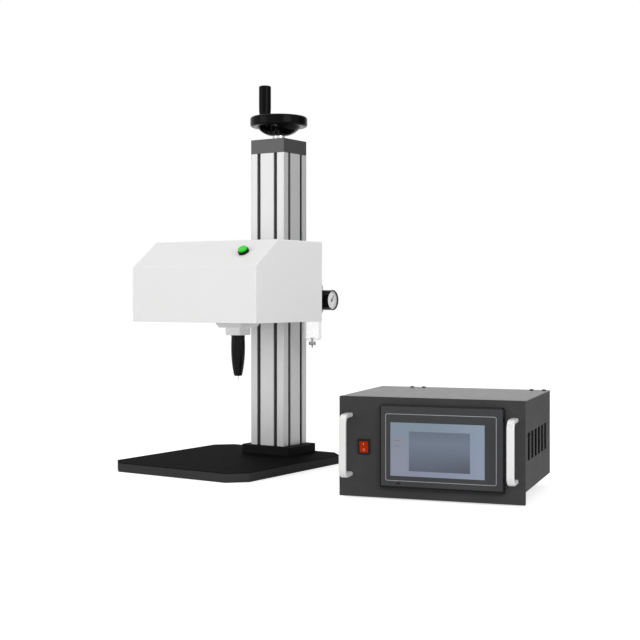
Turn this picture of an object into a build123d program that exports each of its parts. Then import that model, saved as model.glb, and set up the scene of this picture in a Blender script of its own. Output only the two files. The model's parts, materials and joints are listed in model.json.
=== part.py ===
from build123d import *
from math import atan2, cos, degrees, radians, sin
import os

os.makedirs("parts", exist_ok=True)

# Nameplate marking machine. Millimetres, +Z up, the front faces -Y.
# The origin is on the column's axis, at the underside of the base plate.

# Shared fits and allowances
overrun = 1
running_gap = 0.05
slide_gap = 0.3
loose_gap = 0.5
press_gap = 0.02

# Base plate: its long side runs front to back and the column stands off its middle
base_width = 312
base_depth = 354
base_thickness = 17
base_corner = 30
base_edge = 1
base_left = 185.5
base_back = 57
base_right = base_width - base_left

# Cap screws, by thread diameter
m8 = 8
m8_head = 13
m8_head_height = 8
m8_socket = 6
m8_counterbore = 14
socket_depth_share = 0.5
head_edge_share = 0.1

# Column flange
flange_side_margin = 18.5
flange_front_margin = 7.5
flange_thickness = 17
flange_corner = 6
flange_edge = 1
flange_screw_side = 9
flange_screw_front = 14.5
flange_screw_grip = 12
flange_top = base_thickness + flange_thickness

# Column: extruded section of 2 x 2 modules, with two T-slots in each face
profile_module = 40
column_size = 2 * profile_module
column_height = 575
column_corner = 2
slot_spacing = profile_module
slot_mouth = 8.2
slot_lip = 4.5
slot_chamber = 20
slot_shoulder = 1.5
slot_floor = 8.6
slot_depth = 12.3
core_bore = 8.2
core_size = 30
core_corner = 2
face_cavity_width = 13
face_cavity_depth = 19.5
face_cavity_wall = 2.5
column_top = flange_top + column_height
column_face = column_size / 2
flange_width = column_size + 2 * flange_side_margin
flange_depth = column_size + 2 * flange_front_margin
flange_screw_x = flange_width - 2 * flange_screw_side
flange_screw_y = flange_depth - 2 * flange_screw_front

# Top cap
cap_height = 28
cap_edge = 0.8
cap_top = column_top + cap_height
column_screw_grip = 20

# Bearings of the lift screw
bearing_outer = 28
bearing_inner = 12
bearing_width = 8
bearing_edge = 0.6
bearing_race = 3
bearing_recess = 0.8
bearing_space = 2

# Lift screw: trapezoidal 16 x 4
screw_diameter = 16
screw_relief = 12.6
screw_relief_length = 5
journal_diameter = bearing_inner - 2 * running_gap
journal_tail = 7
wheel_thread = 10
shaft_chamfer = 1

# Handwheel
collar_diameter = 25
collar_height = 9.4
collar_groove = 1.2
hub_diameter = 27
hub_height = 20
hub_edge = 2
rim_diameter = 114
rim_height = 20.2
rim_width = 16
rim_round = 5
rim_rise = 17.6
web_thickness = 6
web_start = 0.6
web_sag = 5.2
window_middle = 31.5
window_width = 24
window_angle = 42
window_count = 2
window_turn = -90
boss_diameter = 22
boss_drop = 3
handle_radius = 44.6
handle_turn = 164.4
wheel_nut_across = 15
wheel_nut_height = 5.5
wheel_nut_dome = 2.4
wheel_nut_dome_radius = 6.5

# Revolving handle
grip_length = 67.5
grip_diameter = 24.5
grip_foot = 18.5
grip_flare = 27
grip_round = 3
grip_lean_share = 0.35
grip_recess = 5
spindle_diameter = 10
spindle_thread = 8
spindle_head = 15
spindle_head_height = 3.5
spindle_depth = 14

# Marking head cover
head_width = 288
head_front = 271.5
head_back = 61.6
head_bottom = 279.9
head_top = 430.3
head_nose_top = 381.9
head_slope_back = 204.6
cover_wall = 2
cover_bend = 3
cover_screw_inset = 32.5
cover_screw_spacing = head_width / 2 - cover_screw_inset
cover_screw_head = 8
cover_screw_rise = 2
m4 = 4
m4_grip = 6

# Bottom plate, whose window leaves a gap round the neck's whole travel
floor_thickness = 2.5
window_gap = 4
window_lip = 4
window_corner = 6

# Head frame
back_plate = 8
back_plate_drop = 3
gantry_side_gap = 22.5
gantry_width = head_width - 2 * gantry_side_gap
gantry_thickness = 8
gantry_bottom = 372
gantry_front = 262
gusset_thickness = 6
gusset_height = 40
gusset_depth = 38
gusset_inset = 4
bearing_block_width = 24
bearing_block_depth = 8
bearing_block_height = 16
bearing_block_y = 252

# Sleeve that slides on the column
sleeve_wall = 13.5
sleeve_bottom = 300
sleeve_height = 110
sleeve_corner = 6
sleeve_edge = 1
pad_thickness = 2.2
pad_width = 24
pad_height = 30
pad_inset = 5
tongue_width = 7.4
tongue_depth = 3.5
sleeve_inner = column_face + slide_gap + pad_thickness
sleeve_top = sleeve_bottom + sleeve_height
sleeve_outer = sleeve_inner + sleeve_wall
sleeve_front = head_back - sleeve_inner
slide_screw_share = 0.67

# Nut and its arm through the back of the column
nut_diameter = 26
nut_height = 40
nut_flat = 11
arm_width = 12
arm_height = 30
arm_middle = 360
arm_plate_width = 44
arm_plate_height = 56
arm_plate_thickness = 7
rear_slot_width = 14
lift_down = 145
lift_up = 165
rear_slot_margin = 6

# Rails, blocks and beam of the marking mechanism
y_rail_inset = 35
y_rail_spacing = gantry_width - 2 * y_rail_inset
y_rail_width = 12
y_rail_height = 8
y_rail_front = 250
y_rail_back = 80
y_block_width = 27
y_block_length = 45
y_block_height = 14
y_block_lap = 7
x_reach = 75
y_reach = 50
mark_y = 166
mark_x = 24.7
beam_depth = 24
beam_height = 25
beam_side_gap = 22.5
x_rail_height = 9
x_rail_depth = 6.5
x_rail_end_gap = 2
end_plate = 6
motor_x_size = 42
motor_x_length = 33
motor_side_gap = 3.5
motor_y_size = 35
motor_y_length = 26
motor_bevel = 4
motor_pilot = 22
motor_pilot_height = 2
motor_cap = 8
motor_groove = 0.6
feed_screw = 8
feed_axis_x_z = 318
feed_axis_y_z = 364.5
bracket_width = 24
beam_left = head_width / 2 - cover_wall - motor_side_gap - motor_x_length - end_plate
beam_right = head_width / 2 - cover_wall - beam_side_gap - end_plate
beam_top = gantry_bottom - y_rail_height + y_block_lap - y_block_height
beam_bottom = beam_top - beam_height
beam_front = mark_y + beam_depth / 2
beam_back = mark_y - beam_depth / 2

# X slider, neck and stylus
slider_width = 40
slider_back_gap = 1
slider_depth = 16
slider_top = 355
slider_arm_top = 328
slider_arm_bottom = 307
slider_plate = 6
neck_size = 28
neck_corner = 3
window_x = 2 * (x_reach + neck_size / 2 + window_gap)
window_front = mark_y + y_reach + neck_size / 2 + window_gap
window_back = mark_y - y_reach - neck_size / 2 - window_gap
mount_plate_x = 63
mount_plate_y = 62
mount_plate_height = 10.4
mount_plate_bevel = 6
mount_block_x = 33
mount_block_y = 34
mount_block_height = 14.2
mount_edge = 0.8
mount_gap = 0.5
stylus_top_radius = 12.8
stylus_belly_radius = 13.1
stylus_belly_drop = 20
stylus_waist_radius = 11.2
stylus_waist_drop = 55
stylus_end_radius = 7.3
stylus_length = 76.4
stylus_round = 2.4
stylus_collar = 7
stylus_groove = 0.7
stylus_chamber = 13
stylus_chamber_drop = 52
stylus_bore = 3
piston_height = 9
piston_drop = 14
needle_rod = 6
needle_stroke = 4
needle_tip = 2.4
needle_reach = 10.6
needle_point = 3
needle_flat = 0.35
spring_outer = 11
spring_wire = 1

# Start button on the slope
button_side = 51.5
button_x = head_width / 2 - button_side
button_slope_share = 0.51
button_ring = 20.5
button_ring_height = 5.5
button_barrel = 16
button_barrel_length = 13.5
button_block = 20
button_block_length = 11
button_floor = 1.5
button_disc = 4.6
button_stem = 8
button_stem_length = 13
button_nut = 22
button_nut_height = 3
button_cap = 17
button_cap_height = 4
button_stroke = 3
button_dish = 0.8

# Air valve and socket for the control cable
valve_x = -60
valve_y = 175
valve_width = 22
valve_length = 70
valve_height = 28
valve_coil = 20
valve_coil_length = 26
valve_port = 9
valve_port_length = 4
socket_side = 49
socket_x = socket_side - head_width / 2
socket_z = 400
socket_flange = 24
socket_flange_thickness = 3
socket_ring = 18
socket_ring_height = 8
socket_bore = 14
socket_bore_depth = 7
socket_tail = 10

# Air regulator behind the head
regulator_x = 87.2
regulator_y = -10
regulator_body = 42
regulator_bottom = 295
regulator_top = 349
regulator_edge = 1.5
port_boss = 20
port_reach = 25
gauge_boss = 14
bowl_diameter = 35
bowl_bottom = 242
bowl_wall = 2.4
bowl_round = 4
bowl_seat = 8
drain_guide = 15
drain_guide_height = 1.2
drain_gap = 1.8
drain_head = 13.5
drain_head_height = 6.5
drain_tip = 6
drain_tip_flat = 1
drain_slot = 3
drain_stem = 4
drain_stop = 8
drain_stop_height = 2
bracket_plate = 3
bracket_depth = 34
bracket_drop = 40
bonnet_diameter = 27.6
bonnet_height = 7
port_hole = 11
port_hole_depth = 8
panel_nut = 33
panel_nut_height = 4
knob_diameter = 35
knob_height = 28
knob_post = 12
knob_rib_count = 18
knob_rib = 1.6
inlet_diameter = 16
inlet_length = 15
inlet_ring = 12.4
inlet_ring_length = 3
tube_bore = 8.2

# Gauge on the side of the regulator
gauge_back = 110
gauge_front = 135.5
gauge_z = 320
gauge_diameter = 38.8
gauge_wall = 1.8
gauge_pan = 4
dial_thickness = 0.8
pointer_gap = 0.4
pointer_thickness = 0.5
pointer_length = 12.5
pointer_tail = 5
pointer_width = 1.8
pointer_hub = 5
pointer_rest = 42
pointer_pin = 1.6
glass_thickness = 1.2
glass_inset = 0.5

# Control cabinet: a case turned a little towards the middle of the bench
cabinet_x = 341
cabinet_y = -307
cabinet_turn = 14
panel_width = 306
panel_height = 163
panel_thickness = 4
panel_lift = 1.5
panel_corner = 1.5
case_depth = 240
case_lift = 21
case_sheet = 1.5
case_inset = 1
lid_sheet = 1.5
lid_skirt = 12
foot_diameter = 24
foot_inset = 50
foot_taper = 4
vent_count = 6
vent_first = 26
vent_pitch = 31
vent_width = 20
vent_height = 44
vent_bottom = 68

# Screen and its surround
bezel_left = 71
bezel_width = 203
bezel_height = 136
bezel_bottom = 15.5
bezel_proud = 8
bezel_body = 34
bezel_back_gap = 3
bezel_round = 5
bezel_edge = 2.5
bezel_body_inset = 6
screen_width = 154
screen_height = 86
screen_left = 18
screen_bottom = 22
screen_sink = 1.2
screen_depth = 4

# Bow handles
handle_inset = 17
handle_bottom = 33
handle_height = 103
handle_reach = 38
handle_across = 12
handle_deep = 7
handle_bend = 12
handle_round = 2.4

# Rocker switch
rocker_x = 42.5
rocker_z = 83
rocker_frame_x = 21
rocker_frame_z = 25
rocker_frame_proud = 2
rocker_hole_x = 19
rocker_hole_z = 22
rocker_body_depth = 20
rocker_opening_x = 15
rocker_opening_z = 19
rocker_cavity = 13
rocker_tilt = 8
rocker_width = 14.2
rocker_radius = 9.1
rocker_end = 3.4
rocker_middle = 2
rocker_pin = 3
rocker_pin_length = 1.8
rocker_pivot = 2

# Back of the cabinet
inlet_plate_x = 48
inlet_plate_z = 28
inlet_from_left = 60
inlet_z = 60
inlet_proud = 2
inlet_hole_x = 27
inlet_hole_z = 19.5
inlet_hole_depth = 16
inlet_tail = 22
pin_count = 3
pin_spacing = 7
pin_width = 2
pin_depth = 4
pin_length = 12
port_first = 150
port_spacing = 45
port_z = 60
port_count = 3
supply_x = 90
supply_y = 100
supply_z = 40
supply_from_left = 80
supply_from_back = 70
board_x = 130
board_y = 90
board_thickness = 1.6
board_lift = 8
board_from_left = 232
standoff = 6
chip_size = 18
chip_height = 3


def cap_screw(plane, spots, shank, grip, head, head_height, socket):
    """Socket head cap screws whose heads sit on the plane, shanks below it."""
    with BuildPart() as screws:
        with BuildSketch(plane):
            with Locations(*spots):
                Circle(head / 2)
        extrude(amount=head_height)
        chamfer(screws.edges().filter_by(GeomType.CIRCLE), head_height * head_edge_share)
        with BuildSketch(plane):
            with Locations(*spots):
                Circle(shank / 2)
        extrude(amount=-grip)
        with BuildSketch(plane.offset(head_height)):
            with Locations(*spots):
                RegularPolygon(socket / 2, 6)
        extrude(amount=-head_height * socket_depth_share, mode=Mode.SUBTRACT)
    return screws.part


def grid(x_spacing, y_spacing):
    """The four corners of a rectangle about the middle."""
    return [(x * x_spacing / 2, y * y_spacing / 2) for x in (-1, 1) for y in (-1, 1)]


front_plane = Plane((0, 0, 0), x_dir=(1, 0, 0), z_dir=(0, -1, 0))
flange_spots = grid(flange_screw_x, flange_screw_y)
core_spots = grid(slot_spacing, slot_spacing)

# Base plate
with BuildPart() as base_plate:
    with BuildSketch() as base_outline:
        with Locations((base_right, base_back)):
            Rectangle(base_width, base_depth, align=(Align.MAX, Align.MAX))
        chamfer(base_outline.vertices(), base_corner)
    extrude(amount=base_thickness)
    chamfer(base_plate.faces().sort_by(Axis.Z)[-1].edges(), base_edge)
    with Locations(Plane.XY.offset(base_thickness)):
        with Locations(*flange_spots):
            Hole(m8 / 2 + running_gap, flange_screw_grip + overrun)
base_plate.part.label = "base_plate"
export_step(base_plate.part, "parts/base_plate.step")

# Column flange: counterbored for the four screws, recessed for the lower bearing
with BuildPart() as column_flange:
    with BuildSketch(Plane.XY.offset(base_thickness)):
        RectangleRounded(flange_width, flange_depth, flange_corner)
    extrude(amount=flange_thickness)
    chamfer(column_flange.faces().sort_by(Axis.Z)[-1].edges(), flange_edge)
    with Locations(Plane.XY.offset(flange_top)):
        with Locations(*flange_spots):
            CounterBoreHole(m8 / 2 + slide_gap, m8_counterbore / 2, m8_head_height + overrun)
        Hole(bearing_outer / 2 + press_gap, bearing_width + bearing_space)
    with Locations(Plane.XY.offset(base_thickness).reverse()):
        with Locations(*core_spots):
            CounterBoreHole(m8 / 2 + slide_gap, m8_counterbore / 2, m8_head_height + overrun)
column_flange.part.label = "column_flange"
export_step(column_flange.part, "parts/column_flange.step")

# Flange screws, heads sunk in the flange
flange_seat = flange_top - m8_head_height - overrun
flange_screws = cap_screw(
    Plane.XY.offset(flange_seat),
    flange_spots,
    m8,
    flange_seat - base_thickness + flange_screw_grip,
    m8_head,
    m8_head_height,
    m8_socket,
)

# T-slot section, its mouth on the Y axis and its depth along -X
with BuildSketch() as slot_section:
    with BuildLine():
        Polyline(
            (overrun, slot_mouth / 2),
            (-slot_lip, slot_mouth / 2),
            (-slot_lip, slot_chamber / 2),
            (-slot_lip - slot_shoulder, slot_chamber / 2),
            (-slot_depth, slot_floor / 2),
            (-slot_depth, -slot_floor / 2),
            (-slot_lip - slot_shoulder, -slot_chamber / 2),
            (-slot_lip, -slot_chamber / 2),
            (-slot_lip, -slot_mouth / 2),
            (overrun, -slot_mouth / 2),
            close=True,
        )
    make_face()

# Column section: slots, core bores, a cavity behind each face and the square core
with BuildSketch(Plane.XY.offset(flange_top)) as column_section:
    RectangleRounded(column_size, column_size, column_corner)
    with PolarLocations(column_face, 4):
        with Locations((0, slot_spacing / 2), (0, -slot_spacing / 2)):
            add(slot_section.sketch, mode=Mode.SUBTRACT)
        with Locations((-face_cavity_wall, 0)):
            Rectangle(
                face_cavity_depth,
                face_cavity_width,
                align=(Align.MAX, Align.CENTER),
                mode=Mode.SUBTRACT,
            )
    with Locations(*core_spots):
        Circle(core_bore / 2, mode=Mode.SUBTRACT)
    RectangleRounded(core_size, core_size, core_corner, mode=Mode.SUBTRACT)

# Column, milled through its back face where the nut's arm runs
rear_slot_bottom = arm_middle - arm_height / 2 - lift_down - rear_slot_margin
rear_slot_top = arm_middle + arm_height / 2 + lift_up + rear_slot_margin
with BuildPart() as column:
    add(column_section.sketch)
    extrude(amount=column_height)
    with BuildSketch(Plane.XY.offset(rear_slot_bottom)):
        with Locations((0, column_face + overrun)):
            Rectangle(
                rear_slot_width,
                column_face,
                align=(Align.CENTER, Align.MAX),
            )
    extrude(amount=rear_slot_top - rear_slot_bottom, mode=Mode.SUBTRACT)
column.part.label = "column"
export_step(column.part, "parts/column.step")

# Column screws, driven up from under the flange
column_screws = cap_screw(
    Plane.XY.offset(base_thickness + m8_head_height + overrun).reverse(),
    core_spots,
    m8,
    flange_thickness - m8_head_height - overrun + column_screw_grip,
    m8_head,
    m8_head_height,
    m8_socket,
)

# Top cap with the upper bearing's pocket below and the shaft bore through it
upper_bearing_bottom = column_top + bearing_width
with BuildPart() as top_cap:
    with BuildSketch(Plane.XY.offset(column_top)):
        RectangleRounded(column_size, column_size, column_corner)
    extrude(amount=cap_height)
    chamfer(top_cap.faces().sort_by(Axis.Z)[-1].edges(), cap_edge)
    with Locations(Plane.XY.offset(cap_top)):
        with Locations(*core_spots):
            CounterBoreHole(m8 / 2 + slide_gap, m8_counterbore / 2, m8_head_height + overrun)
        Hole(bearing_inner / 2 + overrun)
    with Locations(Plane.XY.offset(column_top).reverse()):
        Hole(bearing_outer / 2 + press_gap, 2 * bearing_width)
top_cap.part.label = "top_cap"
export_step(top_cap.part, "parts/top_cap.step")

cap_seat = cap_top - m8_head_height - overrun
cap_screws = cap_screw(
    Plane.XY.offset(cap_seat),
    core_spots,
    m8,
    cap_seat - column_top + column_screw_grip,
    m8_head,
    m8_head_height,
    m8_socket,
)
with BuildPart() as stand_screws:
    add(flange_screws)
    add(column_screws)
    add(cap_screws)
stand_screws.part.label = "stand_screws"
export_step(stand_screws.part, "parts/stand_screws.step")

# Bearings: a ring section with sunk seals, one in the flange and one in the cap
lower_bearing_bottom = flange_top - bearing_width - bearing_space
with BuildPart() as screw_bearings:
    for bottom in (lower_bearing_bottom, upper_bearing_bottom):
        with BuildSketch(Plane.XZ) as ring:
            with Locations((bearing_inner / 2, bottom)):
                Rectangle(
                    (bearing_outer - bearing_inner) / 2,
                    bearing_width,
                    align=(Align.MIN, Align.MIN),
                )
            chamfer(ring.vertices(), bearing_edge)
            for level, side in ((bottom, Align.MIN), (bottom + bearing_width, Align.MAX)):
                with Locations((bearing_inner / 2 + bearing_race, level)):
                    Rectangle(
                        (bearing_outer - bearing_inner) / 2 - 2 * bearing_race,
                        bearing_recess,
                        align=(Align.MIN, side),
                        mode=Mode.SUBTRACT,
                    )
        revolve(axis=Axis.Z)
screw_bearings.part.label = "screw_bearings"
export_step(screw_bearings.part, "parts/screw_bearings.step")

# Lift screw: journals, thread reliefs and the end for the wheel
thread_bottom = lower_bearing_bottom + bearing_width
thread_top = upper_bearing_bottom
collar_bottom = cap_top + slide_gap
hub_bottom = collar_bottom + collar_height
hub_top = hub_bottom + hub_height
with BuildPart() as lift_screw:
    with BuildSketch(Plane.XZ):
        with BuildLine():
            Polyline(
                (0, thread_bottom - journal_tail),
                (journal_diameter / 2 - shaft_chamfer, thread_bottom - journal_tail),
                (journal_diameter / 2, thread_bottom - journal_tail + shaft_chamfer),
                (journal_diameter / 2, thread_bottom),
                (screw_relief / 2 + shaft_chamfer, thread_bottom),
                (screw_diameter / 2, thread_bottom + shaft_chamfer),
                (screw_diameter / 2, thread_top - screw_relief_length),
                (screw_relief / 2, thread_top - screw_relief_length),
                (screw_relief / 2, thread_top - shaft_chamfer),
                (screw_diameter / 2 - shaft_chamfer, thread_top - shaft_chamfer),
                (screw_diameter / 2 - shaft_chamfer, thread_top),
                (journal_diameter / 2, thread_top),
                (journal_diameter / 2, hub_top - shaft_chamfer),
                (wheel_thread / 2, hub_top - shaft_chamfer),
                (wheel_thread / 2, hub_top + wheel_nut_height - shaft_chamfer),
                (0, hub_top + wheel_nut_height - shaft_chamfer),
                close=True,
            )
        make_face()
    revolve(axis=Axis.Z)
lift_screw.part.label = "lift_screw"
export_step(lift_screw.part, "parts/lift_screw.step")

# Polished collar between cap and hub, grooved round its middle
with BuildPart() as wheel_collar:
    with BuildSketch(Plane.XY.offset(collar_bottom)):
        Circle(collar_diameter / 2)
        Circle(bearing_inner / 2, mode=Mode.SUBTRACT)
    extrude(amount=collar_height)
    with BuildSketch(Plane.XZ):
        with Locations((collar_diameter / 2, collar_bottom + collar_height / 2)):
            Rectangle(2 * collar_groove, collar_groove)
    revolve(axis=Axis.Z, mode=Mode.SUBTRACT)
wheel_collar.part.label = "wheel_collar"
export_step(wheel_collar.part, "parts/wheel_collar.step")

# Handwheel: hub, dished web that sweeps up to the rim, rounded rim, handle boss
rim_bottom = hub_bottom + rim_rise
rim_top = rim_bottom + rim_height
rim_inner = rim_diameter / 2 - rim_width
web_inner = hub_diameter / 2 - hub_edge
web_rise = rim_rise + rim_round
web_outer = rim_inner + rim_round
with BuildPart() as handwheel:
    with BuildSketch(Plane.XZ) as hub_section:
        with Locations((bearing_inner / 2, hub_bottom)):
            Rectangle(
                (hub_diameter - bearing_inner) / 2,
                hub_height,
                align=(Align.MIN, Align.MIN),
            )
        chamfer(hub_section.vertices().group_by(Axis.X)[-1], hub_edge)
    revolve(axis=Axis.Z)
    with BuildSketch(Plane.XZ):
        with BuildLine():
            lower = ThreePointArc(
                (web_inner, hub_bottom + web_start),
                (
                    (web_inner + web_outer) / 2 + web_sag / 2,
                    hub_bottom + (web_start + web_rise) / 2 - web_sag,
                ),
                (web_outer, hub_bottom + web_rise),
            )
            upper = ThreePointArc(
                (web_inner, hub_bottom + web_start + web_thickness),
                (
                    (web_inner + web_outer) / 2,
                    hub_bottom + (web_start + web_rise) / 2 - web_sag + web_thickness,
                ),
                (web_outer, hub_bottom + web_rise + web_thickness),
            )
            Line(lower @ 0, upper @ 0)
            Line(lower @ 1, upper @ 1)
        make_face()
    revolve(axis=Axis.Z)
    with BuildSketch(Plane.XY.offset(hub_bottom)):
        with Locations(Rotation(0, 0, window_turn)):
            with PolarLocations(0, window_count):
                SlotArc(
                    CenterArc((0, 0), window_middle, -window_angle / 2, window_angle),
                    window_width,
                )
    extrude(amount=web_rise + web_thickness, mode=Mode.SUBTRACT)
    with BuildSketch(Plane.XZ) as rim_section:
        with Locations((rim_inner, rim_bottom)):
            Rectangle(rim_width, rim_height, align=(Align.MIN, Align.MIN))
        fillet(rim_section.vertices(), rim_round)
    revolve(axis=Axis.Z)
    with BuildSketch(Plane.XY.offset(rim_bottom + boss_drop)):
        with PolarLocations(handle_radius, 1, start_angle=handle_turn):
            Circle(boss_diameter / 2)
    extrude(amount=rim_height - boss_drop)
    with BuildSketch(Plane.XY.offset(rim_top)):
        with PolarLocations(handle_radius, 1, start_angle=handle_turn):
            Circle(spindle_thread / 2)
    extrude(amount=-spindle_depth, mode=Mode.SUBTRACT)
handwheel.part.label = "handwheel"
export_step(handwheel.part, "parts/handwheel.step")

# Domed nut on the wheel
nut_top = hub_top + wheel_nut_height
wheel_nut_sphere = (wheel_nut_dome_radius**2 + wheel_nut_dome**2) / (2 * wheel_nut_dome)
with BuildPart() as wheel_nut:
    with BuildSketch(Plane.XY.offset(hub_top)):
        RegularPolygon(wheel_nut_across / 2, 6, major_radius=False)
        Circle(wheel_thread / 2, mode=Mode.SUBTRACT)
    extrude(amount=wheel_nut_height)
    with BuildSketch(Plane.XZ):
        with BuildLine():
            rim_line = Line((0, nut_top), (wheel_nut_dome_radius, nut_top))
            dome = RadiusArc(rim_line @ 1, (0, nut_top + wheel_nut_dome), -wheel_nut_sphere)
            Line(dome @ 1, rim_line @ 0)
        make_face()
    revolve(axis=Axis.Z)
wheel_nut.part.label = "wheel_nut"
export_step(wheel_nut.part, "parts/wheel_nut.step")

# Handle pin, screwed into the boss, its head sunk in the grip
handle_x = handle_radius * cos(radians(handle_turn))
handle_y = handle_radius * sin(radians(handle_turn))
grip_bottom = rim_top + slide_gap
grip_top = grip_bottom + grip_length
spindle_seat = grip_top - grip_recess
handle_plane = Plane((handle_x, handle_y, 0))
with BuildPart() as handle_spindle:
    with BuildSketch(handle_plane.offset(rim_top)):
        Circle(spindle_diameter / 2)
    extrude(amount=spindle_seat + slide_gap - rim_top)
    with BuildSketch(handle_plane.offset(rim_top)):
        Circle(spindle_thread / 2)
    extrude(amount=-spindle_depth + shaft_chamfer)
    with BuildSketch(handle_plane.offset(spindle_seat + slide_gap)):
        Circle(spindle_head / 2 - slide_gap)
    extrude(amount=spindle_head_height)
    with BuildSketch(handle_plane.offset(spindle_seat + slide_gap + spindle_head_height)):
        Rectangle(spindle_head, spindle_head_height / 2)
    extrude(amount=-spindle_head_height / 2, mode=Mode.SUBTRACT)
handle_spindle.part.label = "handle_spindle"
export_step(handle_spindle.part, "parts/handle_spindle.step")

# Grip that turns on the pin: narrow foot, long straight barrel, rounded top
with BuildPart() as handle_grip:
    with BuildSketch(Plane((handle_x, handle_y, 0), x_dir=(1, 0, 0), z_dir=(0, -1, 0))) as half:
        with BuildLine():
            foot = Line((0, grip_bottom), (grip_foot / 2, grip_bottom))
            flare = Spline(
                foot @ 1,
                (grip_diameter / 2, grip_bottom + grip_flare),
                tangents=((grip_lean_share, 1), (0, 1)),
            )
            barrel = Line(flare @ 1, (grip_diameter / 2, grip_top))
            lid = Line(barrel @ 1, (0, grip_top))
            Line(lid @ 1, foot @ 0)
        make_face()
        fillet(half.vertices().sort_by_distance((grip_diameter, grip_top))[0], grip_round)
    revolve(axis=Axis((handle_x, handle_y, 0), (0, 0, 1)))
    with Locations(handle_plane.offset(grip_top)):
        CounterBoreHole(spindle_diameter / 2 + running_gap, spindle_head / 2, grip_recess)
handle_grip.part.label = "handle_grip"
export_step(handle_grip.part, "parts/handle_grip.step")

# Sleeve on the column, open at the back for the nut's arm
slide_spots = [
    (x * (sleeve_outer - sleeve_corner - m8), z)
    for x in (-1, 1)
    for z in (sleeve_bottom + m8_head, sleeve_top - m8_head)
]
slide_screw_depth = sleeve_front * slide_screw_share
with BuildPart() as slide_sleeve:
    with BuildSketch(Plane.XY.offset(sleeve_bottom)) as sleeve_outline:
        with Locations((0, sleeve_outer)):
            Rectangle(
                2 * sleeve_outer,
                sleeve_outer + head_back,
                align=(Align.CENTER, Align.MAX),
            )
        fillet(sleeve_outline.vertices().group_by(Axis.Y)[-1], sleeve_corner)
        RectangleRounded(2 * sleeve_inner, 2 * sleeve_inner, column_corner, mode=Mode.SUBTRACT)
    extrude(amount=sleeve_height)
    chamfer(slide_sleeve.faces().sort_by(Axis.Z)[-1].outer_wire().edges(), sleeve_edge)
    with BuildSketch(Plane.XZ.offset(-sleeve_outer - overrun)):
        with Locations((0, arm_middle)):
            Rectangle(arm_width + 2 * slide_gap, arm_height + 2 * slide_gap)
    extrude(amount=sleeve_wall + 2 * overrun, mode=Mode.SUBTRACT)
    with BuildSketch(front_plane.offset(head_back)):
        with Locations(*slide_spots):
            Circle(m8 / 2 + running_gap)
    extrude(amount=-slide_screw_depth - overrun, mode=Mode.SUBTRACT)
slide_sleeve.part.label = "slide_sleeve"
export_step(slide_sleeve.part, "parts/slide_sleeve.step")

# Guide pads: one over each slot, low and high, with a tongue in the slot
with BuildPart() as guide_pads:
    pad_levels = (sleeve_bottom + pad_inset, sleeve_top - pad_inset - pad_height)
    for level in pad_levels:
        with BuildSketch(Plane.XY.offset(level)):
            with PolarLocations(sleeve_inner, 4):
                with Locations((0, slot_spacing / 2), (0, -slot_spacing / 2)):
                    Rectangle(pad_thickness, pad_width, align=(Align.MAX, Align.CENTER))
                    Rectangle(
                        pad_thickness + tongue_depth,
                        tongue_width,
                        align=(Align.MAX, Align.CENTER),
                    )
        extrude(amount=pad_height)
guide_pads.part.label = "guide_pads"
export_step(guide_pads.part, "parts/guide_pads.step")

# Arm bolted on the sleeve's back, reaching in to the nut
with BuildPart() as nut_arm:
    with BuildSketch(Plane.XY.offset(arm_middle - arm_height / 2)):
        with Locations((0, nut_flat)):
            Rectangle(
                arm_width,
                sleeve_outer - nut_flat + arm_plate_thickness,
                align=(Align.CENTER, Align.MIN),
            )
    extrude(amount=arm_height)
    with BuildSketch(Plane.XZ.offset(-sleeve_outer)):
        with Locations((0, arm_middle)):
            RectangleRounded(arm_plate_width, arm_plate_height, sleeve_corner)
    extrude(amount=-arm_plate_thickness)
nut_arm.part.label = "nut_arm"
export_step(nut_arm.part, "parts/nut_arm.step")

# Bronze nut, flat where the arm meets it
with BuildPart() as lift_nut:
    with BuildSketch(Plane.XY.offset(arm_middle - nut_height / 2)):
        Circle(nut_diameter / 2)
        with Locations((0, nut_flat)):
            Rectangle(
                nut_diameter,
                nut_diameter,
                align=(Align.CENTER, Align.MIN),
                mode=Mode.SUBTRACT,
            )
        Circle(screw_diameter / 2 + running_gap, mode=Mode.SUBTRACT)
    extrude(amount=nut_height)
lift_nut.part.label = "lift_nut"
export_step(lift_nut.part, "parts/lift_nut.step")

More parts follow.
